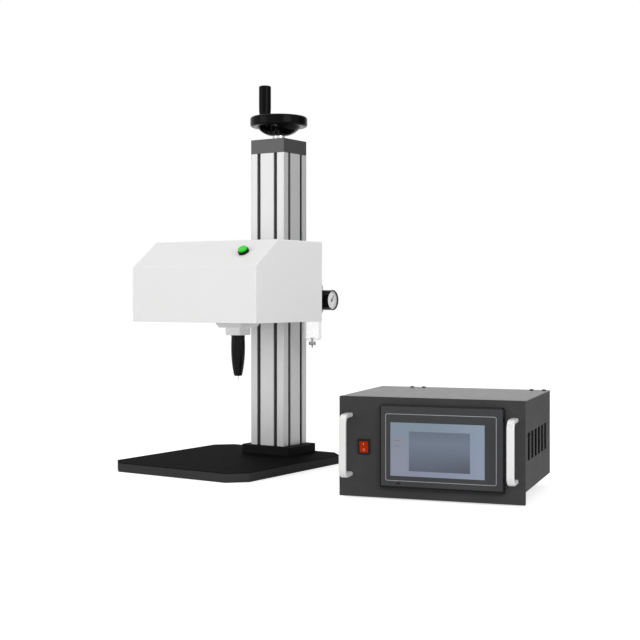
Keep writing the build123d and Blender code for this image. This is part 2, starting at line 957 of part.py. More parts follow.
# Head frame: back plate, gantry plate over the mechanism, gussets and screw bearing
back_front = head_back + back_plate
frame_half = head_width / 2 - cover_wall - slide_gap
frame_bottom = head_bottom + back_plate_drop
frame_top = head_top - cover_wall - slide_gap
cover_screw_spots = [
    (x * cover_screw_spacing, -head_back - back_plate / 2) for x in (-1, 0, 1)
]
with BuildPart() as head_frame:
    with BuildSketch(front_plane.offset(head_back)):
        with Locations((0, frame_bottom)):
            Rectangle(
                2 * frame_half,
                frame_top - frame_bottom,
                align=(Align.CENTER, Align.MIN),
            )
    extrude(amount=back_plate)
    with BuildSketch(Plane.XY.offset(gantry_bottom)):
        with Locations((0, -gantry_front)):
            Rectangle(
                gantry_width,
                gantry_front - head_back - back_plate / 2,
                align=(Align.CENTER, Align.MIN),
            )
        with Locations((0, -back_front)):
            Rectangle(
                motor_y_size + 2 * slide_gap,
                motor_y_length + motor_cap,
                align=(Align.CENTER, Align.MAX),
                mode=Mode.SUBTRACT,
            )
    extrude(amount=gantry_thickness)
    for side in (-1, 1):
        gusset_x = side * (gantry_width / 2 - gusset_inset - gusset_thickness / 2)
        with BuildSketch(Plane.YZ.offset(gusset_x)):
            with BuildLine():
                Polyline(
                    (-back_front + overrun, gantry_bottom + overrun),
                    (-back_front - gusset_depth, gantry_bottom + overrun),
                    (-back_front - gusset_depth, gantry_bottom),
                    (-back_front, gantry_bottom - gusset_height),
                    (-back_front + overrun, gantry_bottom - gusset_height),
                    close=True,
                )
            make_face()
        extrude(amount=gusset_thickness / 2, both=True)
    with BuildSketch(Plane.XY.offset(gantry_bottom)):
        with Locations((0, -bearing_block_y)):
            Rectangle(bearing_block_width, bearing_block_depth)
    extrude(amount=-bearing_block_height)
    with BuildSketch(front_plane.offset(bearing_block_y - bearing_block_depth)):
        with Locations((0, feed_axis_y_z)):
            Circle(feed_screw / 2 + running_gap)
    extrude(amount=2 * bearing_block_depth, mode=Mode.SUBTRACT)
    with BuildSketch(front_plane.offset(head_back)):
        with Locations(*slide_spots):
            Circle(m8 / 2 + slide_gap)
    extrude(amount=back_plate + overrun, mode=Mode.SUBTRACT)
    with Locations(Plane.XY.offset(frame_top)):
        with Locations(*cover_screw_spots):
            Hole(m4 / 2 + running_gap, m4_grip)
head_frame.part.label = "head_frame"
export_step(head_frame.part, "parts/head_frame.step")

# Screws that hold the frame on the sleeve
slide_screws = cap_screw(
    front_plane.offset(back_front),
    slide_spots,
    m8,
    back_plate + slide_screw_depth,
    m8_head,
    m8_head_height,
    m8_socket,
)
slide_screws.label = "slide_screws"
export_step(slide_screws, "parts/slide_screws.step")

# Cover: folded sheet with a sloped front, open below and behind
slope_angle = degrees(atan2(head_top - head_nose_top, head_front - head_slope_back))
button_y = head_front - button_slope_share * (head_front - head_slope_back)
button_z = head_nose_top + button_slope_share * (head_top - head_nose_top)
button_plane = Plane(
    (button_x, -button_y, button_z),
    x_dir=(1, 0, 0),
    z_dir=(0, -sin(radians(slope_angle)), cos(radians(slope_angle))),
)
button_axis = Axis(button_plane.origin, button_plane.z_dir)
with BuildPart() as head_cover:
    with BuildSketch(Plane.YZ):
        with BuildLine():
            Polyline(
                (-head_back, head_bottom),
                (-head_front, head_bottom),
                (-head_front, head_nose_top),
                (-head_slope_back, head_top),
                (-head_back, head_top),
                close=True,
            )
        make_face()
    extrude(amount=head_width / 2, both=True)
    bends = head_cover.edges().filter_by(Axis.X).filter_by(
        lambda edge: edge.center().Z > head_bottom + cover_bend
        and edge.center().Y < -head_back - cover_bend
    )
    corners = head_cover.edges().filter_by(Plane.YZ).filter_by(
        lambda edge: edge.center().Z > head_bottom + cover_bend
        and edge.center().Y < -head_back - cover_bend
    )
    fillet(bends + corners, cover_bend)
    offset(
        amount=-cover_wall,
        openings=[
            head_cover.faces().sort_by(Axis.Z)[0],
            head_cover.faces().sort_by(Axis.Y)[-1],
        ],
    )
    with BuildSketch(button_plane):
        Circle(button_barrel / 2 + slide_gap)
    extrude(amount=2 * cover_wall, both=True, mode=Mode.SUBTRACT)
    with Locations(Plane.XY.offset(head_top)):
        with Locations(*cover_screw_spots):
            Hole(m4 / 2 + slide_gap, 2 * cover_wall)
head_cover.part.label = "head_cover"
export_step(head_cover.part, "parts/head_cover.step")

# Cover screws with pan heads
with BuildPart() as cover_screws:
    with BuildSketch(Plane.XY.offset(head_top)):
        with Locations(*cover_screw_spots):
            Circle(cover_screw_head / 2)
    extrude(amount=cover_screw_rise)
    fillet(cover_screws.edges().group_by(Axis.Z)[-1], cover_screw_rise / 2)
    with BuildSketch(Plane.XY.offset(head_top)):
        with Locations(*cover_screw_spots):
            Circle(m4 / 2)
    extrude(amount=-m4_grip)
cover_screws.part.label = "cover_screws"
export_step(cover_screws.part, "parts/cover_screws.step")

# Bottom plate, its window stiffened by a turned-up lip
floor_front = head_front - cover_wall - slide_gap
with BuildPart() as head_base:
    with BuildSketch(Plane.XY.offset(head_bottom)):
        with Locations((0, -floor_front)):
            Rectangle(
                2 * frame_half,
                floor_front - back_front - slide_gap,
                align=(Align.CENTER, Align.MIN),
            )
    extrude(amount=floor_thickness)
    with BuildSketch(Plane.XY.offset(head_bottom)):
        with Locations((0, -(window_front + window_back) / 2)):
            RectangleRounded(
                window_x + 2 * floor_thickness,
                window_front - window_back + 2 * floor_thickness,
                window_corner + floor_thickness,
            )
    extrude(amount=floor_thickness + window_lip)
    with BuildSketch(Plane.XY.offset(head_bottom)):
        with Locations((0, -(window_front + window_back) / 2)):
            RectangleRounded(window_x, window_front - window_back, window_corner)
    extrude(amount=floor_thickness + window_lip, mode=Mode.SUBTRACT)
head_base.part.label = "head_base"
export_step(head_base.part, "parts/head_base.step")

# Start button: ring on the slope, barrel, nut and contact block behind it
with BuildPart() as button_housing:
    with BuildSketch(button_plane):
        Circle(button_ring / 2)
    extrude(amount=button_ring_height)
    chamfer(button_housing.faces().sort_by(button_axis)[-1].edges(), button_floor / 3)
    with BuildSketch(button_plane):
        Circle(button_barrel / 2)
    extrude(amount=-button_barrel_length)
    with BuildSketch(button_plane.offset(-cover_wall)):
        Circle(button_nut / 2)
    extrude(amount=-button_nut_height)
    with BuildSketch(button_plane.offset(-button_barrel_length)):
        Rectangle(button_block, button_block)
    extrude(amount=-button_block_length)
    with BuildSketch(button_plane.offset(button_floor)):
        Circle(button_cap / 2 + slide_gap)
    extrude(amount=button_ring_height, mode=Mode.SUBTRACT)
    with BuildSketch(button_plane.offset(button_floor)):
        Circle(button_stem / 2 + slide_gap)
    extrude(amount=-button_stem_length - button_floor, mode=Mode.SUBTRACT)
button_housing.part.label = "button_housing"
export_step(button_housing.part, "parts/button_housing.step")

# Green cap with a shallow dish
button_top = button_ring_height + button_cap_height
with BuildPart() as start_button:
    with BuildSketch(button_plane.offset(button_top - button_disc)):
        Circle(button_cap / 2)
    extrude(amount=button_disc)
    fillet(start_button.faces().sort_by(button_axis)[-1].edges(), button_dish)
    with BuildSketch(button_plane.offset(button_top - button_disc)):
        Circle(button_stem / 2)
    extrude(amount=-button_stem_length + button_stroke + button_top - button_disc)
start_button.part.label = "start_button"
export_step(start_button.part, "parts/start_button.step")

# Solenoid valve on the gantry: body, coil and three ports
with BuildPart() as air_valve:
    with BuildSketch(Plane.XY.offset(gantry_bottom + gantry_thickness)):
        with Locations((valve_x, -valve_y)):
            Rectangle(valve_width, valve_length)
    extrude(amount=valve_height)
    chamfer(air_valve.faces().sort_by(Axis.Z)[-1].edges(), cover_screw_rise / 2)
    with BuildSketch(front_plane.offset(valve_y - valve_length / 2)):
        with Locations((valve_x, gantry_bottom + gantry_thickness + valve_height / 2)):
            RectangleRounded(valve_coil, valve_coil, cover_bend)
    extrude(amount=-valve_coil_length)
    with BuildSketch(Plane.YZ.offset(valve_x + valve_width / 2)):
        with Locations((-valve_y, gantry_bottom + gantry_thickness + valve_height / 2)):
            with GridLocations(valve_length / 3, 0, 3, 1):
                Circle(valve_port / 2)
    extrude(amount=valve_port_length)
air_valve.part.label = "air_valve"
export_step(air_valve.part, "parts/air_valve.step")

# Socket for the control cable, on the back of the head
back_plane = Plane((0, 0, 0), x_dir=(-1, 0, 0), z_dir=(0, 1, 0))
with BuildPart() as head_socket:
    with BuildSketch(back_plane.offset(-head_back)):
        with Locations((-socket_x, socket_z)):
            RectangleRounded(socket_flange, socket_flange, cover_bend)
    extrude(amount=socket_flange_thickness)
    with BuildSketch(back_plane.offset(-head_back + socket_flange_thickness)):
        with Locations((-socket_x, socket_z)):
            Circle(socket_ring / 2)
    extrude(amount=socket_ring_height)
    with BuildSketch(back_plane.offset(-head_back + socket_flange_thickness + socket_ring_height)):
        with Locations((-socket_x, socket_z)):
            Circle(socket_bore / 2)
    extrude(amount=-socket_bore_depth, mode=Mode.SUBTRACT)
head_socket.part.label = "head_socket"
export_step(head_socket.part, "parts/head_socket.step")

# Y rails under the gantry, and the blocks that ride on them
rail_bottom = gantry_bottom - y_rail_height
with BuildPart() as y_rails:
    with BuildSketch(Plane.XY.offset(rail_bottom)):
        with Locations((0, -(y_rail_front + y_rail_back) / 2)):
            with GridLocations(y_rail_spacing, 0, 2, 1):
                Rectangle(y_rail_width, y_rail_front - y_rail_back)
    extrude(amount=y_rail_height)
y_rails.part.label = "y_rails"
export_step(y_rails.part, "parts/y_rails.step")

with BuildPart() as y_blocks:
    with BuildSketch(front_plane.offset(mark_y - y_block_length / 2)):
        with Locations((0, beam_top)):
            with GridLocations(y_rail_spacing, 0, 2, 1):
                Rectangle(y_block_width, y_block_height, align=(Align.CENTER, Align.MIN))
        with Locations((0, rail_bottom - slide_gap)):
            with GridLocations(y_rail_spacing, 0, 2, 1):
                Rectangle(
                    y_rail_width + 2 * slide_gap,
                    y_block_height,
                    align=(Align.CENTER, Align.MIN),
                    mode=Mode.SUBTRACT,
                )
    extrude(amount=y_block_length)
y_blocks.part.label = "y_blocks"
export_step(y_blocks.part, "parts/y_blocks.step")


def motor(plane, size, length, shaft):
    """Square stepper motor, its face on the plane and its body behind it."""
    with BuildPart() as body:
        with BuildSketch(plane) as face:
            Rectangle(size, size)
            chamfer(face.vertices(), motor_bevel)
        extrude(amount=-length)
        with BuildSketch(plane):
            Circle(motor_pilot / 2)
        extrude(amount=motor_pilot_height)
        for step in (motor_cap, length - motor_cap):
            with BuildSketch(plane.offset(-step)):
                Rectangle(size + overrun, size + overrun)
                with BuildSketch(plane.offset(-step), mode=Mode.SUBTRACT) as inner:
                    Rectangle(size - 2 * motor_groove, size - 2 * motor_groove)
                    chamfer(inner.vertices(), motor_bevel)
            extrude(amount=-motor_groove, mode=Mode.SUBTRACT)
        with BuildSketch(plane.offset(motor_pilot_height)):
            Circle(shaft / 2 + running_gap)
        extrude(amount=-length / 2 - motor_pilot_height, mode=Mode.SUBTRACT)
    return body.part


# Y motor on the back plate, X motor on the beam's left end
y_motor_plane = Plane(
    (0, -back_front - motor_y_length, feed_axis_y_z), x_dir=(1, 0, 0), z_dir=(0, -1, 0)
)
y_motor = motor(y_motor_plane, motor_y_size, motor_y_length, feed_screw)
y_motor.label = "y_motor"
export_step(y_motor, "parts/y_motor.step")

x_motor_face = -beam_left - end_plate
x_motor_plane = Plane((x_motor_face, -mark_y, feed_axis_x_z), x_dir=(0, 1, 0), z_dir=(1, 0, 0))
x_motor = motor(x_motor_plane, motor_x_size, motor_x_length, feed_screw)
x_motor.label = "x_motor"
export_step(x_motor, "parts/x_motor.step")


def feed(plane, length, tail):
    """Feed screw: its shaft reaches back into the motor, the thread runs forward."""
    with BuildPart() as shaft:
        with BuildSketch(plane.offset(-tail)):
            Circle(feed_screw / 2)
        extrude(amount=tail + length)
        chamfer(shaft.edges().filter_by(GeomType.CIRCLE), shaft_chamfer / 2)
        with BuildSketch(plane.offset(motor_pilot_height + shaft_chamfer)):
            Circle(feed_screw)
            Circle(feed_screw / 2 - shaft_chamfer / 2, mode=Mode.SUBTRACT)
        extrude(amount=shaft_chamfer, mode=Mode.SUBTRACT)
    return shaft.part


y_screw_length = bearing_block_y + bearing_block_depth / 2 - back_front - motor_y_length
y_screw = feed(y_motor_plane, y_screw_length, motor_y_length / 2 - slide_gap)
y_screw.label = "y_screw"
export_step(y_screw, "parts/y_screw.step")

x_screw_length = beam_right + end_plate - x_motor_face
x_screw = feed(x_motor_plane, x_screw_length, motor_x_length / 2 - slide_gap)
x_screw.label = "x_screw"
export_step(x_screw, "parts/x_screw.step")

# Beam: bar under the blocks, nut bracket on top, motor plate and bearing plate at its ends
with BuildPart() as x_beam:
    with BuildSketch(Plane.XY.offset(beam_bottom)):
        with Locations((-beam_left, -mark_y)):
            Rectangle(
                beam_left + beam_right,
                beam_depth,
                align=(Align.MIN, Align.CENTER),
            )
    extrude(amount=beam_height)
    with BuildSketch(Plane.XY.offset(beam_top)):
        with Locations((0, -mark_y)):
            Rectangle(bracket_width, beam_depth)
    extrude(amount=y_block_height)
    with BuildSketch(Plane.YZ.offset(-beam_left)):
        with Locations((-mark_y, feed_axis_x_z - motor_x_size / 2)):
            Rectangle(
                motor_x_size,
                beam_top - feed_axis_x_z + motor_x_size / 2,
                align=(Align.CENTER, Align.MIN),
            )
    extrude(amount=-end_plate)
    with BuildSketch(Plane.YZ.offset(beam_right)):
        with Locations((-mark_y, feed_axis_x_z - beam_depth / 2)):
            Rectangle(
                beam_depth,
                beam_top - feed_axis_x_z + beam_depth / 2,
                align=(Align.CENTER, Align.MIN),
            )
    extrude(amount=end_plate)
    with BuildSketch(front_plane.offset(beam_front)):
        with Locations((0, feed_axis_y_z)):
            Circle(feed_screw / 2 + running_gap)
    extrude(amount=-beam_depth, mode=Mode.SUBTRACT)
    with BuildSketch(Plane.YZ.offset(beam_right)):
        with Locations((-mark_y, feed_axis_x_z)):
            Circle(feed_screw / 2 + running_gap)
    extrude(amount=end_plate, mode=Mode.SUBTRACT)
    with BuildSketch(Plane.YZ.offset(-beam_left)):
        with Locations((-mark_y, feed_axis_x_z)):
            Circle(motor_pilot / 2 + press_gap)
    extrude(amount=-end_plate, mode=Mode.SUBTRACT)
x_beam.part.label = "x_beam"
export_step(x_beam.part, "parts/x_beam.step")

# X rail on the beam's front face
x_rail_z = beam_bottom + beam_height / 2
with BuildPart() as x_rail:
    with BuildSketch(front_plane.offset(beam_front)):
        with Locations(((beam_right - beam_left) / 2, x_rail_z)):
            Rectangle(beam_left + beam_right - 2 * x_rail_end_gap, x_rail_height)
    extrude(amount=x_rail_depth)
x_rail.part.label = "x_rail"
export_step(x_rail.part, "parts/x_rail.step")

# Slider: block on the rail, plate in front, arm below with the nut, neck through the window
slider_back = beam_front + slider_back_gap
slider_front = slider_back + slider_depth + slider_plate
mount_top = head_bottom - mount_gap
with BuildPart() as x_slider:
    with BuildSketch(Plane.YZ.offset(mark_x)):
        with BuildLine():
            Polyline(
                (-slider_back, slider_top),
                (-slider_front, slider_top),
                (-slider_front, slider_arm_bottom),
                (-beam_back, slider_arm_bottom),
                (-beam_back, slider_arm_top),
                (-slider_front + slider_plate, slider_arm_top),
                (-slider_front + slider_plate, x_rail_z - x_rail_height),
                (-slider_back, x_rail_z - x_rail_height),
                close=True,
            )
        make_face()
        with Locations((-slider_back, x_rail_z)):
            Rectangle(
                x_rail_depth - slider_back_gap + slide_gap,
                x_rail_height + 2 * slide_gap,
                align=(Align.MAX, Align.CENTER),
                mode=Mode.SUBTRACT,
            )
        with Locations((-mark_y, feed_axis_x_z)):
            Circle(feed_screw / 2 + running_gap, mode=Mode.SUBTRACT)
    extrude(amount=slider_width / 2, both=True)
    with BuildSketch(Plane.XY.offset(mount_top)):
        with Locations((mark_x, -mark_y)):
            RectangleRounded(neck_size, neck_size, neck_corner)
    extrude(amount=slider_arm_bottom - mount_top)
x_slider.part.label = "x_slider"
export_step(x_slider.part, "parts/x_slider.step")

# Light mount under the head: bevelled plate and the block that clamps the stylus
plate_bottom = mount_top - mount_plate_height
stylus_top = plate_bottom - mount_block_height
with BuildPart() as stylus_mount:
    with BuildSketch(Plane.XY.offset(mount_top)):
        with Locations((mark_x, -mark_y)):
            Rectangle(mount_plate_x, mount_plate_y)
    with BuildSketch(Plane.XY.offset(plate_bottom)):
        with Locations((mark_x, -mark_y)):
            Rectangle(
                mount_plate_x - 2 * mount_plate_bevel,
                mount_plate_y - 2 * mount_plate_bevel,
            )
    loft()
    with BuildSketch(Plane.XY.offset(plate_bottom)):
        with Locations((mark_x, -mark_y)):
            Rectangle(mount_block_x, mount_block_y)
    extrude(amount=-mount_block_height)
    chamfer(stylus_mount.faces().sort_by(Axis.Z)[0].edges(), mount_edge)
stylus_mount.part.label = "stylus_mount"
export_step(stylus_mount.part, "parts/stylus_mount.step")

# Stylus housing: collar, full barrel and a rounded nose, bored for piston and needle
stylus_end = stylus_top - stylus_length
chamber_floor = stylus_top - stylus_chamber_drop
mark_plane = Plane((mark_x, -mark_y, 0))
with BuildPart() as stylus_body:
    with BuildSketch(Plane((mark_x, -mark_y, 0), x_dir=(1, 0, 0), z_dir=(0, -1, 0))) as half:
        with BuildLine():
            head = Line((0, stylus_top), (stylus_top_radius, stylus_top))
            collar = Line(head @ 1, (stylus_top_radius, stylus_top - stylus_collar))
            barrel = Spline(
                collar @ 1,
                (stylus_belly_radius, stylus_top - stylus_belly_drop),
                (stylus_waist_radius, stylus_top - stylus_waist_drop),
                (stylus_end_radius, stylus_end),
            )
            nose = Line(barrel @ 1, (0, stylus_end))
            Line(nose @ 1, head @ 0)
        make_face()
        fillet(half.vertices().sort_by_distance((stylus_end_radius, stylus_end))[0], stylus_round)
        with Locations((stylus_top_radius, stylus_top - stylus_collar)):
            Rectangle(stylus_groove, stylus_groove, mode=Mode.SUBTRACT)
    revolve(axis=Axis((mark_x, -mark_y, 0), (0, 0, 1)))
    with BuildSketch(mark_plane.offset(stylus_top)):
        Circle(stylus_chamber / 2)
    extrude(amount=-stylus_chamber_drop, mode=Mode.SUBTRACT)
    with BuildSketch(mark_plane.offset(stylus_top)):
        Circle(stylus_bore / 2)
    extrude(amount=-stylus_length - overrun, mode=Mode.SUBTRACT)
stylus_body.part.label = "stylus_body"
export_step(stylus_body.part, "parts/stylus_body.step")

# Needle: piston, rod and the pointed tip
needle_end = stylus_end - needle_reach
piston_top = stylus_top - piston_drop
piston_bottom = piston_top - piston_height
rod_bottom = chamber_floor + 2 * needle_stroke
with BuildPart() as needle:
    with BuildSketch(Plane((mark_x, -mark_y, 0), x_dir=(1, 0, 0), z_dir=(0, -1, 0))):
        with BuildLine():
            Polyline(
                (0, piston_top),
                (stylus_chamber / 2 - running_gap, piston_top),
                (stylus_chamber / 2 - running_gap, piston_bottom),
                (needle_rod / 2, piston_bottom),
                (needle_rod / 2, rod_bottom),
                (needle_tip / 2, rod_bottom),
                (needle_tip / 2, needle_end + needle_point),
                (needle_flat / 2, needle_end),
                (0, needle_end),
                close=True,
            )
        make_face()
    revolve(axis=Axis((mark_x, -mark_y, 0), (0, 0, 1)))
needle.part.label = "needle"
export_step(needle.part, "parts/needle.step")

# Return spring, as the sleeve that it fills when fully pressed
with BuildPart() as needle_spring:
    with BuildSketch(mark_plane.offset(chamber_floor)):
        Circle(spring_outer / 2)
        Circle(spring_outer / 2 - spring_wire, mode=Mode.SUBTRACT)
    extrude(amount=piston_bottom - needle_stroke - slide_gap - chamber_floor)
needle_spring.part.label = "needle_spring"
export_step(needle_spring.part, "parts/needle_spring.step")

# Regulator: die-cast body with two ports, a gauge boss and a threaded bonnet
regulator_plane = Plane((regulator_x, regulator_y, 0))
regulator_view = Plane((regulator_x, regulator_y, gauge_z), x_dir=(1, 0, 0), z_dir=(0, -1, 0))
with BuildPart() as regulator:
    with BuildSketch(regulator_plane.offset(regulator_bottom)):
        Circle(regulator_body / 2)
    extrude(amount=regulator_top - regulator_bottom)
    chamfer(regulator.edges().filter_by(GeomType.CIRCLE), regulator_edge)
    with BuildSketch(regulator_view):
        Circle(port_boss / 2)
    extrude(amount=port_reach, both=True)
    with BuildSketch(Plane((regulator_x, regulator_y, gauge_z), x_dir=(0, 1, 0), z_dir=(1, 0, 0))):
        Circle(gauge_boss / 2)
    extrude(amount=gauge_back - regulator_x)
    with BuildSketch(regulator_plane.offset(regulator_top)):
        Circle(bonnet_diameter / 2)
    extrude(amount=bonnet_height)
    with BuildSketch(regulator_plane.offset(regulator_top + bracket_plate)):
        RegularPolygon(panel_nut / 2, 6)
    extrude(amount=panel_nut_height)
    with BuildSketch(regulator_plane.offset(regulator_top + bonnet_height)):
        Circle(knob_post / 2)
    extrude(amount=knob_height / 2)
    with BuildSketch(regulator_plane.offset(regulator_bottom)):
        Circle(bowl_diameter / 2 + press_gap)
    extrude(amount=bowl_seat, mode=Mode.SUBTRACT)
    with BuildSketch(regulator_view.offset(port_reach)):
        Circle(port_hole / 2)
    extrude(amount=-port_hole_depth, mode=Mode.SUBTRACT)
regulator.part.label = "regulator_body"
export_step(regulator.part, "parts/regulator_body.step")

# Bracket: plate on the sleeve's side and a tab clamped under the bonnet's nut
with BuildPart() as regulator_bracket:
    with BuildSketch(Plane.XY.offset(regulator_top)):
        with Locations((sleeve_outer, regulator_y)):
            Rectangle(
                regulator_x - sleeve_outer,
                bracket_depth,
                align=(Align.MIN, Align.CENTER),
            )
        with Locations((regulator_x, regulator_y)):
            Circle(bracket_depth / 2)
            Circle(bonnet_diameter / 2 + slide_gap, mode=Mode.SUBTRACT)
    extrude(amount=bracket_plate)
    with BuildSketch(Plane.XY.offset(regulator_top + bracket_plate)):
        with Locations((sleeve_outer, regulator_y)):
            Rectangle(bracket_plate, bracket_depth, align=(Align.MIN, Align.CENTER))
    extrude(amount=-bracket_drop)
regulator_bracket.part.label = "regulator_bracket"
export_step(regulator_bracket.part, "parts/regulator_bracket.step")

# Knob with ribs round its side
knob_bottom = regulator_top + bonnet_height + loose_gap
with BuildPart() as regulator_knob:
    with BuildSketch(regulator_plane.offset(knob_bottom)):
        Circle(knob_diameter / 2)
    extrude(amount=knob_height)
    fillet(regulator_knob.faces().sort_by(Axis.Z)[-1].edges(), knob_rib)
    with BuildSketch(regulator_plane.offset(knob_bottom)):
        with PolarLocations(knob_diameter / 2, knob_rib_count):
            Circle(knob_rib / 2)
    extrude(amount=knob_height - 2 * knob_rib, mode=Mode.SUBTRACT)
    with BuildSketch(regulator_plane.offset(knob_bottom)):
        Circle(knob_post / 2 + running_gap)
    extrude(amount=knob_height / 2, mode=Mode.SUBTRACT)
regulator_knob.part.label = "regulator_knob"
export_step(regulator_knob.part, "parts/regulator_knob.step")

# Clear bowl: round bottom edge, drain guide below
bowl_top = regulator_bottom + bowl_seat
with BuildPart() as regulator_bowl:
    with BuildSketch(regulator_plane.offset(bowl_bottom)):
        Circle(bowl_diameter / 2)
    extrude(amount=bowl_top - bowl_bottom)
    fillet(regulator_bowl.faces().sort_by(Axis.Z)[0].edges(), bowl_round)
    offset(amount=-bowl_wall, openings=regulator_bowl.faces().sort_by(Axis.Z)[-1])
    with BuildSketch(regulator_plane.offset(bowl_bottom)):
        Circle(drain_guide / 2)
    extrude(amount=-drain_guide_height)
    with BuildSketch(regulator_plane.offset(bowl_bottom - drain_guide_height)):
        Circle(drain_stem / 2 + running_gap)
    extrude(amount=drain_guide_height + 2 * bowl_wall, mode=Mode.SUBTRACT)
regulator_bowl.part.label = "regulator_bowl"
export_step(regulator_bowl.part, "parts/regulator_bowl.step")

# Drain: forked button below, stem through the bowl and a stop inside it
drain_top = bowl_bottom - drain_guide_height - drain_gap
stop_bottom = bowl_bottom + bowl_wall + slide_gap
with BuildPart() as drain_valve:
    with BuildSketch(Plane((regulator_x, regulator_y, 0), x_dir=(1, 0, 0), z_dir=(0, -1, 0))):
        with BuildLine():
            Polyline(
                (0, drain_top - drain_head_height - drain_tip),
                (drain_tip_flat / 2, drain_top - drain_head_height - drain_tip),
                (drain_stem / 2, drain_top - drain_head_height),
                (drain_head / 2, drain_top - drain_head_height),
                (drain_head / 2, drain_top),
                (drain_stem / 2, drain_top),
                (drain_stem / 2, stop_bottom),
                (drain_stop / 2, stop_bottom),
                (drain_stop / 2, stop_bottom + drain_stop_height),
                (0, stop_bottom + drain_stop_height),
                close=True,
            )
        make_face()
    revolve(axis=Axis((regulator_x, regulator_y, 0), (0, 0, 1)))
    with BuildSketch(regulator_plane.offset(drain_top - drain_head_height)):
        with Locations((drain_stem / 2 + drain_slot / 2, 0), (-drain_stem / 2 - drain_slot / 2, 0)):
            Rectangle(drain_slot / 2, drain_head)
    extrude(amount=drain_head_height / 2, mode=Mode.SUBTRACT)
drain_valve.part.label = "drain_valve"
export_step(drain_valve.part, "parts/drain_valve.step")

# Push-in fitting for the supply tube, at the back of the regulator
inlet_face = regulator_y + port_reach
inlet_end = inlet_face + inlet_length + inlet_ring_length
rear_view = Plane((regulator_x, 0, gauge_z), x_dir=(-1, 0, 0), z_dir=(0, 1, 0))
with BuildPart() as air_inlet:
    with BuildSketch(rear_view.offset(inlet_face)):
        RegularPolygon(inlet_diameter / 2, 6, major_radius=False)
    extrude(amount=inlet_length / 3)
    with BuildSketch(rear_view.offset(inlet_face)):
        Circle(inlet_diameter / 2)
    extrude(amount=inlet_length)
    fillet(air_inlet.edges().group_by(Axis.Y)[-1], inlet_ring_length / 3)
    with BuildSketch(rear_view.offset(inlet_face + inlet_length)):
        Circle(inlet_ring / 2)
    extrude(amount=inlet_ring_length)
    with BuildSketch(rear_view.offset(inlet_end)):
        Circle(tube_bore / 2)
    extrude(amount=-inlet_length - inlet_ring_length / 2, mode=Mode.SUBTRACT)
air_inlet.part.label = "air_inlet"
export_step(air_inlet.part, "parts/air_inlet.step")

# Gauge: case on the regulator's side, dial, pointer and glass
gauge_plane = Plane((0, regulator_y, gauge_z), x_dir=(0, 1, 0), z_dir=(1, 0, 0))
gauge_pan_floor = gauge_front - gauge_pan
dial_face = gauge_pan_floor + dial_thickness
pointer_back = dial_face + pointer_gap
glass_front = gauge_front - glass_inset
with BuildPart() as gauge_case:
    with BuildSketch(gauge_plane.offset(gauge_back)):
        Circle(gauge_diameter / 2)
    extrude(amount=gauge_front - gauge_back)
    fillet(gauge_case.edges().group_by(Axis.X)[0], gauge_wall)
    with BuildSketch(gauge_plane.offset(gauge_front)):
        Circle(gauge_diameter / 2 - gauge_wall)
    extrude(amount=-gauge_pan, mode=Mode.SUBTRACT)
gauge_case.part.label = "gauge_case"
export_step(gauge_case.part, "parts/gauge_case.step")

with BuildPart() as gauge_dial:
    with BuildSketch(gauge_plane.offset(gauge_pan_floor)):
        Circle(gauge_diameter / 2 - gauge_wall - press_gap)
    extrude(amount=dial_thickness)
    with BuildSketch(gauge_plane.offset(dial_face)):
        Circle(pointer_pin / 2)
    extrude(amount=pointer_gap + 2 * pointer_thickness)
gauge_dial.part.label = "gauge_dial"
export_step(gauge_dial.part, "parts/gauge_dial.step")

# Pointer: tapered arm, short tail and hub
pointer_angle = radians(pointer_rest)
pointer_plane = Plane(
    (pointer_back, regulator_y, gauge_z),
    x_dir=(0, cos(pointer_angle), -sin(pointer_angle)),
    z_dir=(1, 0, 0),
)
with BuildPart() as gauge_pointer:
    with BuildSketch(pointer_plane):
        with BuildLine():
            Polyline(
                (-pointer_width / 2, 0),
                (-pointer_width / 6, pointer_length),
                (pointer_width / 6, pointer_length),
                (pointer_width / 2, 0),
                (pointer_width / 2, -pointer_tail),
                (-pointer_width / 2, -pointer_tail),
                close=True,
            )
        make_face()
        Circle(pointer_hub / 2)
        Circle(pointer_pin / 2 + running_gap, mode=Mode.SUBTRACT)
    extrude(amount=pointer_thickness)
gauge_pointer.part.label = "gauge_pointer"
export_step(gauge_pointer.part, "parts/gauge_pointer.step")

with BuildPart() as gauge_glass:
    with BuildSketch(gauge_plane.offset(glass_front)):
        Circle(gauge_diameter / 2 - gauge_wall - press_gap)
    extrude(amount=-glass_thickness)
gauge_glass.part.label = "gauge_glass"
export_step(gauge_glass.part, "parts/gauge_glass.step")

# Control cabinet: local X runs along its panel, local Y towards its back
turn = radians(cabinet_turn)
cabinet_plane = Plane((cabinet_x, cabinet_y, 0), x_dir=(cos(turn), sin(turn), 0), z_dir=(0, 0, 1))
panel_plane = Plane(
    (cabinet_x, cabinet_y, 0),
    x_dir=(cos(turn), sin(turn), 0),
    z_dir=(sin(turn), -cos(turn), 0),
)
panel_axis = Axis(panel_plane.origin, panel_plane.z_dir)
side_plane = Plane(
    (cabinet_x, cabinet_y, 0),
    x_dir=(-sin(turn), cos(turn), 0),
    z_dir=(cos(turn), sin(turn), 0),
)
cabinet_back_plane = Plane(
    cabinet_plane.from_local_coords((panel_width, case_depth, 0)),
    x_dir=(-cos(turn), -sin(turn), 0),
    z_dir=(-sin(turn), cos(turn), 0),
)
panel_top = panel_lift + panel_height
case_top = panel_top - lid_sheet
case_width = panel_width - 2 * case_inset
case_length = case_depth - panel_thickness

